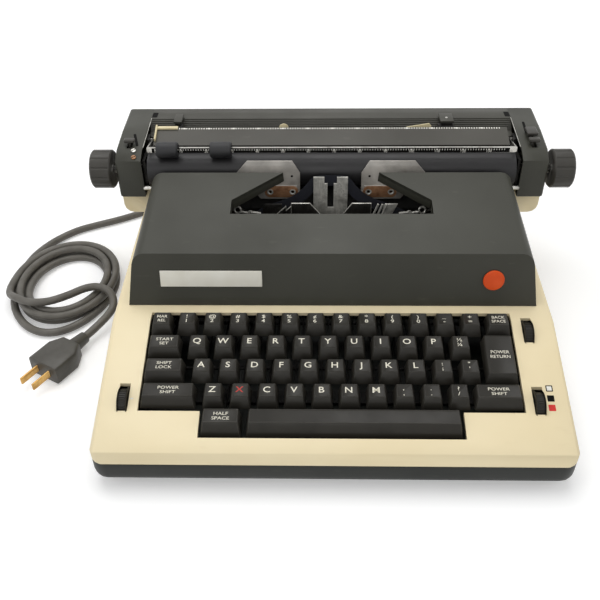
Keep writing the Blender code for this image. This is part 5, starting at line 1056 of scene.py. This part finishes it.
@dataclass
class Keyboard:
    """Key caps and their lettering."""

    pitch: float = 0.01905
    front_row_y: float = -0.1145
    front_row_z: float = 0.0500
    rise: float = 0.0056
    cap: float = 0.0080
    edge: float = 0.0003
    corner: float = 0.0022
    letter: float = 0.0069
    letter_squeeze: float = 1.12
    pair: float = 0.0043
    pair_squeeze: float = 1.3
    word: float = 0.0035
    letter_x: float = -0.0006
    letter_y: float = 0.0004
    pair_rise: float = 0.0021
    weight: float = 0.00006
    rows: tuple[KeyRow, ...] = (
        KeyRow("key_row_digits", -0.1072, 3,
               ("!1", "@2", "#3", "$4", "%5", "¢6", "&7", "*8", "(9", ")0", "_-", "+=")),
        KeyRow("key_row_upper", -0.0977, 2, tuple("QWERTYUIOP") + ("½¼",)),
        KeyRow("key_row_home", -0.0929, 1, tuple("ASDFGHJKL") + (":;", "\"'")),
        KeyRow("key_row_lower", -0.0834, 0, tuple("ZXCVBNM") + (",,", "..", "?/")))
    words: tuple[WordKey, ...] = (
        WordKey("margin_release_key", -0.1263, 3, "MAR\nREL", 1.1),
        WordKey("back_space_key", 0.1224, 3, "BACK\nSPACE", 1.05),
        WordKey("tab_set_key", -0.1222, 2, "START\nSET"),
        WordKey("shift_lock_key", -0.1202, 1, "SHIFT\nLOCK"),
        WordKey("shift_key_left", -0.1151, 0, "POWER\nSHIFT"),
        WordKey("shift_key_right", 0.1151, 0, "POWER\nSHIFT"),
        WordKey("return_key", 0.1198, 1.5, "POWER\nRETURN", 1.1),
        WordKey("half_space_key", -0.0767, -1, "HALF\nSPACE"))
    plain: tuple[str, ...] = ("space_bar",)

    def row_y(self, row: float) -> float:
        """Place of a row from front to rear."""
        return self.front_row_y + row * self.pitch

    def below_cap(self, middle: Vector, normal: Vector) -> bool:
        """Whether a face of a key node belongs to its stem or lever."""
        slope = self.rise / self.pitch
        return middle.z < self.front_row_z + slope * (middle.y - self.front_row_y) - self.cap

    def round_corners(self, piece: bpy.types.Object) -> None:
        """Rounds the upright edges at the rear corners of a node's caps.

        Args:
            piece: The dressed copy, with its faces joined.
        """
        facing = {}
        mesh = piece.data
        for face in mesh.polygons:
            for key in face.edge_keys:
                facing.setdefault(key, []).append(face.normal.copy())
        Bench.take(piece)
        bpy.context.tool_settings.mesh_select_mode = (False, True, False)
        mesh.vertices.foreach_set("select", [False] * len(mesh.vertices))
        mesh.polygons.foreach_set("select", [False] * len(mesh.polygons))
        for edge in mesh.edges:
            ends = [mesh.vertices[index].co for index in edge.vertices]
            run = ends[1] - ends[0]
            rear = any(normal.y > 0.6 for normal in facing[edge.key])
            flank = any(abs(normal.x) > 0.6 for normal in facing[edge.key])
            upright = abs(run.z) > 0.5 * run.length
            edge.select = rear and flank and upright and not self.below_cap((ends[0] + ends[1]) / 2, run)
        bpy.ops.object.mode_set(mode="EDIT")
        bpy.ops.mesh.bevel(offset=self.corner, segments=4, affect="EDGES", clamp_overlap=True)
        bpy.ops.object.mode_set(mode="OBJECT")

    def dress(self, frame: Frame, node: str) -> None:
        """Moulds a node's caps and blackens its stems and levers."""
        # The caps' rounded edges get a lighter finish as a painted highlight.
        frame.refine(node, Finishes.KEY, self.edge, inlays=[Inlay(Finishes.BLACK_STEEL, self.below_cap)],
                     shape=self.round_corners, edge_highlight=Finishes.KEY_EDGE_HIGHLIGHT)

    def print_row(self, frame: Frame, row: KeyRow) -> None:
        """Prints one row's caps.

        Args:
            frame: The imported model.
            row: The row.
        """
        y = self.row_y(row.row)
        plain, red = [], []
        for index, legend in enumerate(row.legends):
            x = row.first_x + index * self.pitch
            if len(legend) == 1:
                place = frame.lie_on(row.node, x + self.letter_x, y + self.letter_y)
                target = red if legend == "X" else plain
                target.append(Bench.letters(legend, self.letter, place, self.weight, self.letter_squeeze))
                continue
            for mark, side in zip(legend, (1, -1)):
                place = frame.lie_on(row.node, x + self.letter_x, y + side * self.pair_rise)
                plain.append(Bench.letters(mark, self.pair, place, self.weight / 2, self.pair_squeeze))
        frame.fit(Bench.join(row.node + "_legends", plain), frame.body(row.node), Finishes.LEGEND)
        if red:
            frame.fit(Bench.join(row.node + "_red_legend", red), frame.body(row.node), Finishes.LEGEND_RED)

    def build(self, frame: Frame) -> None:
        """Dresses and prints every key.

        Args:
            frame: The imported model.
        """
        for row in self.rows:
            self.dress(frame, row.node)
            self.print_row(frame, row)
        for key in self.words:
            self.dress(frame, key.node)
            place = frame.lie_on(key.node, key.x, self.row_y(key.row))
            words = Bench.letters(key.words, self.word, place, self.weight / 4, key.squeeze)
            words.name = key.node + "_legend"
            frame.fit(words, frame.body(key.node), Finishes.LEGEND)
        for node in self.plain:
            self.dress(frame, node)


@dataclass
class Case:
    """Cream case, dark pan, feet and the marks printed on the deck."""

    marks: tuple[tuple[float, float], ...] = ((0.1514, -0.1084), (0.1513, -0.1158), (0.1511, -0.1227))
    mark_half: float = 0.0024
    pointer: tuple[float, float] = (-0.1408, -0.1176)
    bridge_front: float = 0.0828
    bridge_rear: float = 0.1426
    bridge_half: float = 0.1508
    soft: float = math.radians(50.0)

    def painted_shade_under_carriage(self, middle: Vector, normal: Vector) -> bool:
        """Whether a face of the case lies in the shade between cover and carriage, where it is painted black as
        shade.
        """
        return abs(middle.x) < self.bridge_half and self.bridge_front < middle.y < self.bridge_rear

    def mark(self, frame: Frame, name: str, place: tuple[float, float], half: tuple[float, float],
             finish: Finish, lift: float = HAIR) -> None:
        """Prints one mark on the deck.

        Args:
            frame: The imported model.
            name: The mark's name.
            place: Its middle.
            half: Half its width and half its depth.
            finish: Its ink.
            lift: How far it stands off the deck.
        """
        tile = Bench.block(name, (-half[0], -half[1], 0.0), (half[0], half[1], HAIR))
        Bench.round_ends(tile, Axis.Z, min(half) / 6, 2)
        tile.data.transform(frame.lie_on("body_shell", *place, lift))
        frame.fit(tile, frame.body("body_shell"), finish)

    def build(self, frame: Frame) -> None:
        """Dresses the case.

        Args:
            frame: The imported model.
        """
        bounds = (((0.0, self.bridge_front, 0.0), (0.0, -1.0, 0.0)),
                  ((0.0, self.bridge_rear, 0.0), (0.0, 1.0, 0.0)),
                  ((-self.bridge_half, 0.0, 0.0), (-1.0, 0.0, 0.0)),
                  ((self.bridge_half, 0.0, 0.0), (1.0, 0.0, 0.0)))
        # The cream case's faces in the shade between cover and carriage get a black finish: painted shade.
        frame.refine("body_shell", Finishes.CREAM, angle=self.soft,
                     inlays=[Inlay(Finishes.BLACK_STEEL, self.painted_shade_under_carriage, bounds)])
        frame.refine("base_pan", Finishes.BASE, 0.0003, self.soft)
        for node in ("foot_front_left", "foot_front_right", "foot_rear_left", "foot_rear_right"):
            frame.refine(node, Finishes.FOOT, 0.0004)
        white, black, red = self.marks
        half = self.mark_half
        self.mark(frame, "mark_outline", white, (half, half), Finishes.BLACK_INK)
        self.mark(frame, "mark_white", white, (half * 0.7, half * 0.7), Finishes.WHITE_INK, 2 * HAIR)
        self.mark(frame, "mark_black", black, (half, half), Finishes.BLACK_INK)
        self.mark(frame, "mark_red", red, (half, half), Finishes.RED)
        self.mark(frame, "wheel_pointer", self.pointer, (half / 2, half / 5), Finishes.WHITE_INK)


@dataclass
class Cover:
    """The lift-off cover with the flanges of its window, its bare plate and its disc."""

    crease: tuple[float, float] = (-0.0300, 0.1058)
    rear: tuple[float, float] = (0.0600, 0.1228)
    side_front: tuple[float, float] = (0.0785, 0.0120)
    side_rear: tuple[float, float] = (0.0785, 0.0275)
    throat: tuple[float, float] = (0.0390, 0.0600)
    flange_depth: float = 0.0085
    flange_sheet: float = 0.0014

    def top(self, y: float) -> float:
        """Height of the cover's top at a place from front to rear."""
        share = (y - self.crease[0]) / (self.rear[0] - self.crease[0])
        return self.crease[1] + share * (self.rear[1] - self.crease[1])

    def flange(self, frame: Frame, name: str, start: tuple[float, float], end: tuple[float, float],
               side: int) -> None:
        """Turns the cover's edge down along one side of the window.

        Args:
            frame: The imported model.
            name: The flange's name.
            start: Its front end, for the right side.
            end: Its rear end.
            side: 1 for the right, -1 for the left.
        """
        first = Vector((side * start[0], start[1], self.top(start[1]) - HAIR))
        last = Vector((side * end[0], end[1], self.top(end[1]) - HAIR))
        along = (last - first).normalized()
        out = Vector((0.0, 0.0, 1.0)).cross(along).normalized() * -side
        up = along.cross(out) * -side
        wall = Bench.block(name, (0.0, 0.0, -self.flange_depth),
                           ((last - first).length, self.flange_sheet, 0.0))
        Bench.bevel(wall, self.flange_sheet / 4)
        wall.data.transform(Matrix.Translation(first) @ Matrix((along, out, up)).transposed().to_4x4())
        if Matrix((along, out, up)).determinant() < 0:
            wall.data.flip_normals()
        frame.fit(Bench.smooth(wall), frame.body("top_cover"), Finishes.COVER)

    def build(self, frame: Frame) -> None:
        """Dresses the cover.

        Args:
            frame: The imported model.
        """
        frame.refine("top_cover", Finishes.COVER, angle=math.radians(50.0))
        frame.refine("nameplate", Finishes.PLATE, 0.0002)
        frame.refine("badge", Finishes.ORANGE, 0.0003)
        for side, name in ((-1, "left"), (1, "right")):
            self.flange(frame, "window_side_" + name, self.side_front, self.side_rear, side)
            self.flange(frame, "window_slant_" + name, self.side_rear, self.throat, side)


@dataclass
class Wheel:
    """A thumb wheel with a milled rim."""

    node: str
    teeth: int = 36
    groove: float = 0.0005

    def build(self, frame: Frame) -> None:
        """Mills the wheel's rim and fits it.

        Args:
            frame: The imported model.
        """
        low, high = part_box(self.node)
        centre = (low + high) / 2
        radius = (high.z - low.z) / 2
        wheel = Bench.disc(self.node + "_milled", centre, radius, high.x - low.x, Axis.X, 2 * self.teeth)

        def on_tooth(middle: Vector, normal: Vector) -> bool:
            """Whether a face of the rim lies between two teeth."""
            angle = math.atan2(middle.z - centre.z, middle.y - centre.y) / math.pi * self.teeth
            return abs(normal.x) < 0.5 and round(angle - 0.5) % 2 == 0

        with Bench.faces(wheel, on_tooth):
            bpy.ops.mesh.inset(thickness=self.groove / 3, use_individual=True)
            bpy.ops.mesh.extrude_region_shrink_fatten(TRANSFORM_OT_shrink_fatten={"value": -self.groove})
        with Bench.faces(wheel, lambda middle, normal: abs(normal.x) > 0.9):
            bpy.ops.mesh.inset(thickness=radius * 0.22, use_individual=True)
            bpy.ops.mesh.inset(thickness=radius * 0.06, depth=-self.groove, use_individual=True)
        Bench.smooth(wheel, math.radians(20.0))
        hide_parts(self.node)
        frame.fit(wheel, frame.body(self.node), Finishes.KEY)


@dataclass
class Carriage:
    """Caps, covers, platen, bail, table, guide, stops and levers."""

    tick_step: float = 0.002117
    table_tick: tuple[float, float, float] = (0.0009, 0.0026, 0.0016)
    number: float = 0.0031
    table_ticks: int = 138
    table_scale: Triple = (-0.1465, 0.1112, 0.1360)
    table_up: Triple = (0.0, 0.947, 0.3213)
    bail_ticks: int = 137
    bail_scale: Triple = (-0.1455, 0.0793, 0.1326)
    bail_tick: tuple[float, float, float] = (0.0006, 0.0016, 0.0013)
    bail_up: Triple = (0.0, 0.0, 1.0)
    strip_low: Triple = (-0.1485, 0.0794, 0.1306)
    strip_high: Triple = (0.1468, 0.0797, 0.1345)
    rib_start: Triple = (0.0, 0.1252, 0.1281)
    rib_step: Triple = (0.0, 0.0013, 0.00117)
    ribs: int = 7
    rib_half: float = 0.1570
    rib_radius: float = 0.00045
    tab_low_y: float = 0.1196
    tab_high_y: float = 0.1352
    tab_low_z: float = 0.1372
    tab_high_z: float = 0.1392
    tabs: tuple[tuple[str, float, float], ...] = (
        ("margin_stop_left", -0.1358, -0.1286), ("margin_stop_right", 0.0944, 0.1060))
    card_rod: tuple[float, float, float] = (0.0755, 0.0995, 0.0020)
    slot: tuple[float, float] = (0.0011, 0.0095)
    slots: tuple[tuple[str, float, float, float], ...] = (
        ("end_cap_left", -0.1652, 0.0985, 0.28), ("end_cap_right", 0.1664, 0.1170, -0.04))
    screws: tuple[tuple[float, float], ...] = ((-0.1649, 0.0838), (-0.1640, 0.0775))
    screw: float = 0.0021
    gap_x: float = 0.1550
    gap_half: float = 0.0022
    gap_front: float = 0.1346
    gap_rear: float = 0.1440
    gap_z: float = 0.1360
    gap_corner: float = 0.0006
    rivet: tuple[float, float, float, float] = (0.1003, 0.1262, 0.0012, 0.0005)
    neck_inset: float = 0.0012
    neck_depth: float = 0.0032
    neck_low_z: float = 0.1340
    cheek_x: float = 0.1573
    cheek_ends: tuple[tuple[float, float], tuple[float, float]] = ((0.0868, 0.1316), (0.1330, 0.1358))
    cheek_radius: float = 0.0003
    card_rod_x: tuple[float, float] = (0.1512, 0.1590)

    def scale(self, name: str, start: Triple, up: Triple, count: int,
              sizes: tuple[float, float, float]) -> list[bpy.types.Object]:
        """Cuts a scale of ticks, with a wide one each tenth.

        Args:
            name: The scale's name.
            start: Foot of its first tick.
            up: The way a tick points, of unit length.
            count: How many ticks there are.
            sizes: Width of a tick, width of each tenth one, and their height.

        Returns:
            The ticks, as pieces still to be joined.
        """
        across = Vector((1.0, 0.0, 0.0))
        rise = Vector(up)
        normal = across.cross(rise)
        turn = Matrix((across, rise, normal)).transposed().to_4x4()
        rows = []
        for every, width in ((1, sizes[0]), (10, sizes[1])):
            tick = Bench.block(name, (-width / 2, 0.0, 0.0), (width / 2, sizes[2], HAIR))
            Bench.round_ends(tick, Axis.Z, width / 5, 1)
            foot = Vector(start) + normal * HAIR * (0.3 + 0.02 * every)
            tick.data.transform(Matrix.Translation(foot) @ turn)
            rows.append(Bench.repeat(tick, (count - 1) // every + 1, across * self.tick_step * every))
        return rows

    def scales(self, frame: Frame) -> None:
        """Prints the paper table's scale, and the bail's on its black strip.

        Args:
            frame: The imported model.
        """
        table = Bench.join("table_scale", self.scale(
            "tick", self.table_scale, self.table_up, self.table_ticks, self.table_tick))
        frame.fit(table, frame.body("paper_table"), Finishes.WHITE_INK)
        strip = Bench.block("bail_strip", self.strip_low, self.strip_high)
        Bench.bevel(strip, HAIR)
        frame.fit(strip, frame.body("paper_bail"), Finishes.BLACK_INK)
        pieces = self.scale("tick", self.bail_scale, self.bail_up, self.bail_ticks, self.bail_tick)
        normal = Vector((0.0, -1.0, 0.0))
        turn = Matrix((Vector((1.0, 0.0, 0.0)), Vector(self.bail_up), normal)).transposed().to_4x4()
        for tenth in range(self.bail_ticks // 10 + 1):
            place = Vector(self.bail_scale) + Vector((tenth * 10 * self.tick_step, -2 * HAIR, -0.0010))
            pieces.append(Bench.letters(str(10 * tenth), self.number, Matrix.Translation(place) @ turn))
        frame.fit(Bench.join("bail_scale", pieces), frame.body("paper_bail"), Finishes.WHITE_INK)

    def trough(self, frame: Frame) -> None:
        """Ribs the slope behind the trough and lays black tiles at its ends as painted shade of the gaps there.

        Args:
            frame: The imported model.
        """
        start = Vector(self.rib_start)
        rib = Bench.bar("trough_ribs", start - Vector((self.rib_half, 0.0, 0.0)),
                        start + Vector((self.rib_half, 0.0, 0.0)), self.rib_radius, 8)
        Bench.repeat(rib, self.ribs, self.rib_step)
        frame.fit(rib, frame.body("carriage_cover"), Finishes.CARRIAGE)
        for side, name in ((-1, "left"), (1, "right")):
            x = side * self.gap_x
            # A black tile stands in for the shade inside each gap: painted shade.
            gap = Bench.block("strip_gap_" + name, (x - self.gap_half, self.gap_front, self.gap_z),
                              (x + self.gap_half, self.gap_rear, self.gap_z + 2 * HAIR))
            Bench.round_ends(gap, Axis.Z, self.gap_corner, 2)
            frame.fit(gap, frame.body("carriage_cover"), Finishes.BLACK_INK)

    def finger_tabs(self, frame: Frame) -> None:
        """Puts a finger tab over each margin stop, and a bright rivet on the right one.

        Args:
            frame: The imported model.
        """
        for node, low, high in self.tabs:
            body = frame.body(node)
            tab = Bench.block(node + "_tab", (low, self.tab_low_y, self.tab_low_z),
                              (high, self.tab_high_y, self.tab_high_z))
            Bench.bevel(tab, 0.0005)
            frame.fit(Bench.smooth(tab), body, Finishes.CARRIAGE)
            neck = Bench.block(node + "_neck", (low + self.neck_inset, self.tab_low_y, self.neck_low_z),
                               (high - self.neck_inset, self.tab_low_y + self.neck_depth, self.tab_low_z + HAIR))
            frame.fit(Bench.bevel(neck, 0.0003), body, Finishes.BLACK_STEEL)
        x, y, radius, height = self.rivet
        rivet = Bench.disc("tab_rivet", (x, y, self.tab_high_z), radius, height, Axis.Z, 20)
        frame.fit(Bench.smooth(Bench.bevel(rivet, 0.0002)), frame.body("margin_stop_right"), Finishes.STEEL)

    def pointers(self, frame: Frame) -> None:
        """Stands the two ivory pointers behind the paper table's edge.

        Args:
            frame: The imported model.
        """
        disc = Bench.disc("centre_pointer", (-0.0400, 0.1147, 0.1353), 0.0041, 0.0009, Axis.Y, 36)
        Bench.bevel(disc, 0.0002)
        frame.fit(Bench.smooth(disc), frame.body("paper_table"), Finishes.IVORY)
        wedge = Bench.block("margin_pointer", (0.0650, 0.1142, 0.1340), (0.0861, 0.1152, 0.1394))
        Bench.cut(wedge, (0.0650, 0.1147, 0.1362), (-0.17, 0.0, 1.0))
        Bench.cut(wedge, (0.0861, 0.1147, 0.1372), (1.0, 0.0, 0.9))
        frame.fit(Bench.bevel(wedge, 0.0002), frame.body("paper_table"), Finishes.IVORY)

    def caps(self, frame: Frame) -> None:
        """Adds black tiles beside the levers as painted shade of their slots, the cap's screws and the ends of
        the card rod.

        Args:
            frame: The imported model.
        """
        for node, x, y, angle in self.slots:
            half, reach = self.slot
            # Each slot is a black tile on the cap: painted shade, not a cut.
            groove = Bench.block(node + "_groove", (-half, -reach, 0.0), (half, reach, HAIR))
            Bench.round_ends(groove, Axis.Z, half * 0.9, 4)
            groove.data.transform(frame.lie_on(node, x, y) @ Matrix.Rotation(angle, 4, "Z"))
            frame.fit(groove, frame.body(node), Finishes.BLACK_INK)
        for index, (x, y) in enumerate(self.screws):
            name = f"cap_screw_{index}"
            head = Bench.disc(name, (0.0, 0.0, self.screw / 4), self.screw, self.screw / 2, Axis.Z, 24)
            Bench.bevel(head, self.screw / 6)
            # The screw's slot is a black tile on its head: painted shade of the slot.
            notch = Bench.block("notch", (-self.screw, -self.screw / 7, self.screw / 2),
                                (self.screw, self.screw / 7, self.screw / 2 + HAIR))
            Bench.coat(notch, Finishes.BLACK_INK)
            Bench.coat(head, Finishes.COPPER if index else Finishes.STEEL)
            head = Bench.join(name, [head, notch])
            head.data.transform(frame.lie_on("end_cap_left", x, y, 0.0) @ Matrix.Rotation(0.6, 4, "Z"))
            frame.fit(Bench.smooth(head), frame.body("end_cap_left"))
        for side, name in ((-1, "left"), (1, "right")):
            front, rear = ((side * self.cheek_x, *end) for end in self.cheek_ends)
            edge = Bench.bar("cheek_edge_" + name, front, rear, self.cheek_radius, 8)
            frame.fit(edge, frame.body("carriage_cover"), Finishes.NICKEL)
        y, z, radius = self.card_rod
        for side, name in ((-1, "left"), (1, "right")):
            inner, outer = ((side * x, y, z) for x in self.card_rod_x)
            rod = Bench.bar("card_rod_" + name, inner, outer, radius, 20)
            frame.fit(rod, frame.body("carriage_frame"), Finishes.STEEL)

    def build(self, frame: Frame) -> None:
        """Dresses the carriage.

        Args:
            frame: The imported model.
        """
        soft = math.radians(50.0)
        for node in ("end_cap_left", "end_cap_right"):
            frame.refine(node, Finishes.COVER, angle=soft)
        frame.refine("carriage_cover", Finishes.CARRIAGE, angle=soft)
        frame.refine("paper_table", Finishes.TABLE)
        frame.paint("carriage_frame", Finishes.BLACK_STEEL)
        frame.refine("platen", Finishes.RUBBER, inlays=[
            Inlay(Finishes.STEEL, lambda middle, normal: abs(middle.x) > 0.1538)])
        for node in ("knob_left", "knob_right"):
            frame.refine(node, Finishes.KNOB, 0.0003, math.radians(80.0))
        frame.refine("paper_bail", Finishes.STEEL, 0.0002)
        for node in ("bail_roller_left", "bail_roller_right"):
            frame.refine(node, Finishes.ROLLER, 0.0003)
        frame.refine("paper_guide", Finishes.IVORY, 0.0002)
        for node in ("margin_stop_left", "margin_stop_right"):
            frame.refine(node, Finishes.BLACK_STEEL, 0.0004)
        for node in ("line_space_lever", "paper_release_lever", "carriage_release_lever"):
            frame.refine(node, Finishes.KNOB, 0.0003)
        self.scales(frame)
        self.trough(frame)
        self.finger_tabs(frame)
        self.pointers(frame)
        self.caps(frame)


@dataclass
class TypeAction:
    """What shows through the cover's window, and the mechanism under it."""

    clamp_low: tuple[float, float] = (0.0272, 0.0948)
    clamp_high: tuple[float, float] = (0.0552, 0.1056)
    clamp_y: float = 0.0680
    clamp_sheet: float = 0.0005
    eyelets: tuple[float, float] = (0.0318, 0.0506)
    eyelet: float = 0.0026
    hole: tuple[float, float] = (0.0322, 0.1142)
    hole_radius: float = 0.0010
    plate_y: float = 0.0500
    plate_sheet: float = 0.0014
    wire: float = 0.0009

    def clamps(self, frame: Frame) -> None:
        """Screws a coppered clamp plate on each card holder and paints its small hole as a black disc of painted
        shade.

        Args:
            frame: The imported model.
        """
        middle_z = (self.clamp_low[1] + self.clamp_high[1]) / 2
        for side, name in ((-1, "left"), (1, "right")):
            node = "card_holder_" + name
            ends = sorted((side * self.clamp_low[0], side * self.clamp_high[0]))
            plate = Bench.block("clamp_plate_" + name,
                                (ends[0], self.clamp_y - self.clamp_sheet, self.clamp_low[1]),
                                (ends[1], self.clamp_y - HAIR, self.clamp_high[1]))
            Bench.round_ends(plate, Axis.Y, 0.0046, 7)
            Bench.bevel(plate, 0.00012)
            frame.fit(Bench.smooth(plate), frame.body(node), Finishes.COPPER)
            for index, x in enumerate(self.eyelets):
                place = (side * x, self.clamp_y - self.clamp_sheet, middle_z)
                rim = Bench.disc(f"clamp_eyelet_{name}_{index}", place, self.eyelet, 0.0006, Axis.Y, 28)
                with Bench.faces(rim, lambda middle, normal: normal.y < -0.9):
                    bpy.ops.mesh.inset(thickness=self.eyelet * 0.35)
                    bpy.ops.mesh.inset(thickness=self.eyelet * 0.12, depth=-0.0003)
                Bench.coat(rim, Finishes.NICKEL)
                # The eyelet's recessed middle is painted black as the shade inside its hole.
                Bench.touch(rim, Finishes.BLACK_STEEL, lambda middle, normal: normal.y < -0.9
                            and middle.y > self.clamp_y - self.clamp_sheet - 0.0002)
                frame.fit(Bench.smooth(rim), frame.body(node))
            # A black disc stands in for the hole: painted shade, not a cut.
            hole_shade_disc = Bench.disc("holder_hole_" + name, (side * self.hole[0], 0.06915, self.hole[1]),
                              self.hole_radius, HAIR, Axis.Y, 20)
            frame.fit(hole_shade_disc, frame.body(node), Finishes.BLACK_INK)

    def sheet(self, frame: Frame, name: str, low: tuple[float, float], high: tuple[float, float], y: float,
              cuts: Sequence[tuple[Triple, Triple]], finish: Finish, rim: Finish | None = None) -> None:
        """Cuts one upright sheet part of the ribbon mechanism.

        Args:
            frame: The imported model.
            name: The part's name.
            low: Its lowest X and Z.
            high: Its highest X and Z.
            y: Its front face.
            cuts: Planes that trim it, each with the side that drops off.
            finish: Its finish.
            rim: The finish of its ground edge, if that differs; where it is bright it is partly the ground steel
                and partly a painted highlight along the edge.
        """
        part = Bench.block(name, (low[0], y, low[1]), (high[0], y + self.plate_sheet, high[1]))
        for point, normal in cuts:
            Bench.cut(part, point, normal)
        Bench.bevel(part, 0.0003, 2)
        Bench.coat(part, finish)
        if rim is not None:
            # Bright edges: partly ground steel, partly a painted highlight along them.
            Bench.touch(part, rim, lambda middle, normal: abs(normal.y) < 0.95)
        frame.fit(Bench.smooth(part), "base")

    def ribbon_works(self, frame: Frame) -> None:
        """Places the vibrator plates, slotted blocks, bars and hooks that show in the window.

        Args:
            frame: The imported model.
        """
        y = self.plate_y
        self.sheet(frame, "vibrator_plate_left", (-0.0327, 0.0800), (-0.0088, 0.0996), y,
                   [((-0.0170, y, 0.0996), (0.78, 0.0, 0.63))], Finishes.DARK_STEEL, Finishes.NICKEL)
        self.sheet(frame, "vibrator_plate_right", (0.0103, 0.0800), (0.0335, 0.0996), y,
                   [((0.0175, y, 0.0996), (-0.82, 0.0, 0.57))], Finishes.DARK_STEEL, Finishes.NICKEL)
        self.sheet(frame, "slotted_block_left", (-0.0560, 0.0800), (-0.0400, 0.1001), y - 0.0020,
                   [((-0.0541, y, 0.1001), (-0.85, 0.0, 0.52))], Finishes.DARK_STEEL, Finishes.BLACK_STEEL)
        for index in range(2):
            x = -0.0400 + index * 0.0042
            self.sheet(frame, f"slotted_finger_{index}", (x - 0.0052, 0.0820), (x + 0.0034, 0.0992),
                       y - 0.0032, [((x - 0.0052, y, 0.0905), (-0.7, 0.0, 0.71)),
                                    ((x + 0.0034, y, 0.0925), (0.7, 0.0, -0.71))],
                       Finishes.DARK_STEEL, Finishes.NICKEL)
        for index in range(3):
            x = 0.0338 + index * 0.0036
            bar = Bench.bar(f"lift_bar_{index}", (x, y - 0.0010, 0.0850),
                            (x + 0.0052, y - 0.0010, 0.0996), self.wire)
            frame.fit(bar, "base", Finishes.NICKEL)
        self.sheet(frame, "lift_plate", (0.0430, 0.0800), (0.0550, 0.0996), y - 0.0010,
                   [((0.0445, y, 0.0996), (-0.92, 0.0, 0.39)), ((0.0550, y, 0.0996), (0.92, 0.0, -0.39))],
                   Finishes.NICKEL)
        self.hook(frame, "left", -1, 0.0768)
        self.hook(frame, "right", 1, 0.0752)

    def hook(self, frame: Frame, name: str, side: int, x: float) -> None:
        """Bends the ribbon feed's spring hook at one end of the window.

        Args:
            frame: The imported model.
            name: Which side it is on.
            side: 1 for the right, -1 for the left.
            x: How far out its eye is.
        """
        y, z = self.plate_y - 0.0020, 0.0946
        Bench.clear()
        bpy.ops.mesh.primitive_torus_add(major_radius=0.0026, minor_radius=0.0008, major_segments=28,
                                         minor_segments=10, location=(side * x, y, z),
                                         rotation=(math.radians(70.0), 0.0, 0.0))
        eye = Bench.smooth(Bench.settle(bpy.context.object, "hook_eye"))
        shank = Bench.bar("shank", (side * (x - 0.0022), y, z - 0.0016),
                          (side * (x - 0.0100), y, z - 0.0030), self.wire)
        lug = Bench.disc("lug", (side * (x - 0.0104), y, z - 0.0028), 0.0023, 0.0014, Axis.Y, 24)
        Bench.bevel(lug, 0.0003)
        arm = Bench.bar("arm", (side * (x - 0.0110), y, z - 0.0022),
                        (side * (x - 0.0190), y, z - 0.0034), 0.0012)
        post = Bench.bar("post", (side * (x + 0.0010), y + 0.0016, z - 0.0140),
                         (side * (x + 0.0010), y, z - 0.0022), 0.0010)
        frame.fit(Bench.join("feed_hook_" + name, [eye, shank, lug, arm, post]), "base", Finishes.NICKEL)

    def build(self, frame: Frame) -> None:
        """Dresses the type basket, ribbon spools, drive and chassis.

        Args:
            frame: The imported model.
        """
        for node in ("chassis", "power_roll", "motor_pulley", "carriage_rail", "motor"):
            frame.paint(node, Finishes.BLACK_STEEL)
        frame.paint("drive_belt", Finishes.FOOT)
        frame.refine("type_segment", Finishes.DARK_STEEL)
        frame.refine("type_bar", Finishes.STEEL)
        frame.refine("type_guide", Finishes.NICKEL, 0.0002)
        for node in ("ribbon_spool_left", "ribbon_spool_right"):
            frame.refine(node, Finishes.BLACK_STEEL, inlays=[
                Inlay(Finishes.RIBBON, lambda middle, normal: abs(normal.z) < 0.5)])
        for node in ("card_holder_left", "card_holder_right"):
            frame.refine(node, Finishes.SMOKE, 0.0002)
        self.clamps(frame)
        self.ribbon_works(frame)


@dataclass
class Ribbon:
    """The inked ribbon, taut from spool to spool and behind the type guide."""

    width: float = 0.0100
    sheet: float = 0.00012
    half_route: tuple[Triple, ...] = (
        (0.0000, 0.0684, 0.1105), (0.0110, 0.0684, 0.1100), (0.0150, 0.0676, 0.1066),
        (0.0200, 0.0662, 0.1010), (0.0270, 0.0645, 0.0955), (0.0370, 0.0620, 0.0915),
        (0.0520, 0.0570, 0.0885), (0.0660, 0.0480, 0.0855),
        (0.0820, 0.0350, 0.0815), (0.0955, 0.0195, 0.0762))

    def build(self, frame: Frame) -> None:
        """Threads the ribbon.

        Args:
            frame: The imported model.
        """
        right = MainsCord.smooth_route(self.half_route, 3)
        path = [Vector((-point.x, point.y, point.z)) for point in reversed(right[1:])] + right
        Bench.clear()
        bpy.ops.mesh.primitive_grid_add(x_subdivisions=len(path) - 1, y_subdivisions=1, size=1.0)
        band = bpy.context.object
        low, high = [], []
        for index, point in enumerate(path):
            before, after = path[max(index - 1, 0)], path[min(index + 1, len(path) - 1)]
            along = (after - before).normalized()
            up = (Vector((0.0, 0.0, 1.0)) - along * along.z).normalized() * self.width / 2
            low.append(point - up)
            high.append(point + up)
        for vertex, place in zip(band.data.vertices, low + high):
            vertex.co = place
        Bench.settle(band, "ink_ribbon")
        tool = band.modifiers.new("gauge", "SOLIDIFY")
        tool.thickness = self.sheet
        bpy.ops.object.modifier_apply(modifier=tool.name)
        Bench.smooth(band, math.radians(60.0))
        frame.fit(band, "base", Finishes.RIBBON)


def main() -> None:
    """Builds the studio, the cord and every sub-assembly in order."""
    logging.basicConfig(level=logging.INFO, format="%(message)s")
    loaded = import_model()
    frame = Frame(nodes=loaded["nodes"])
    Studio().build()
    MainsCord().build(frame)
    Case().build(frame)
    Cover().build(frame)
    Keyboard().build(frame)
    for node in ("touch_wheel", "line_space_wheel", "ribbon_selector"):
        Wheel(node).build(frame)
    Carriage().build(frame)
    TypeAction().build(frame)
    Ribbon().build(frame)


if __name__ == "__main__":
    main()
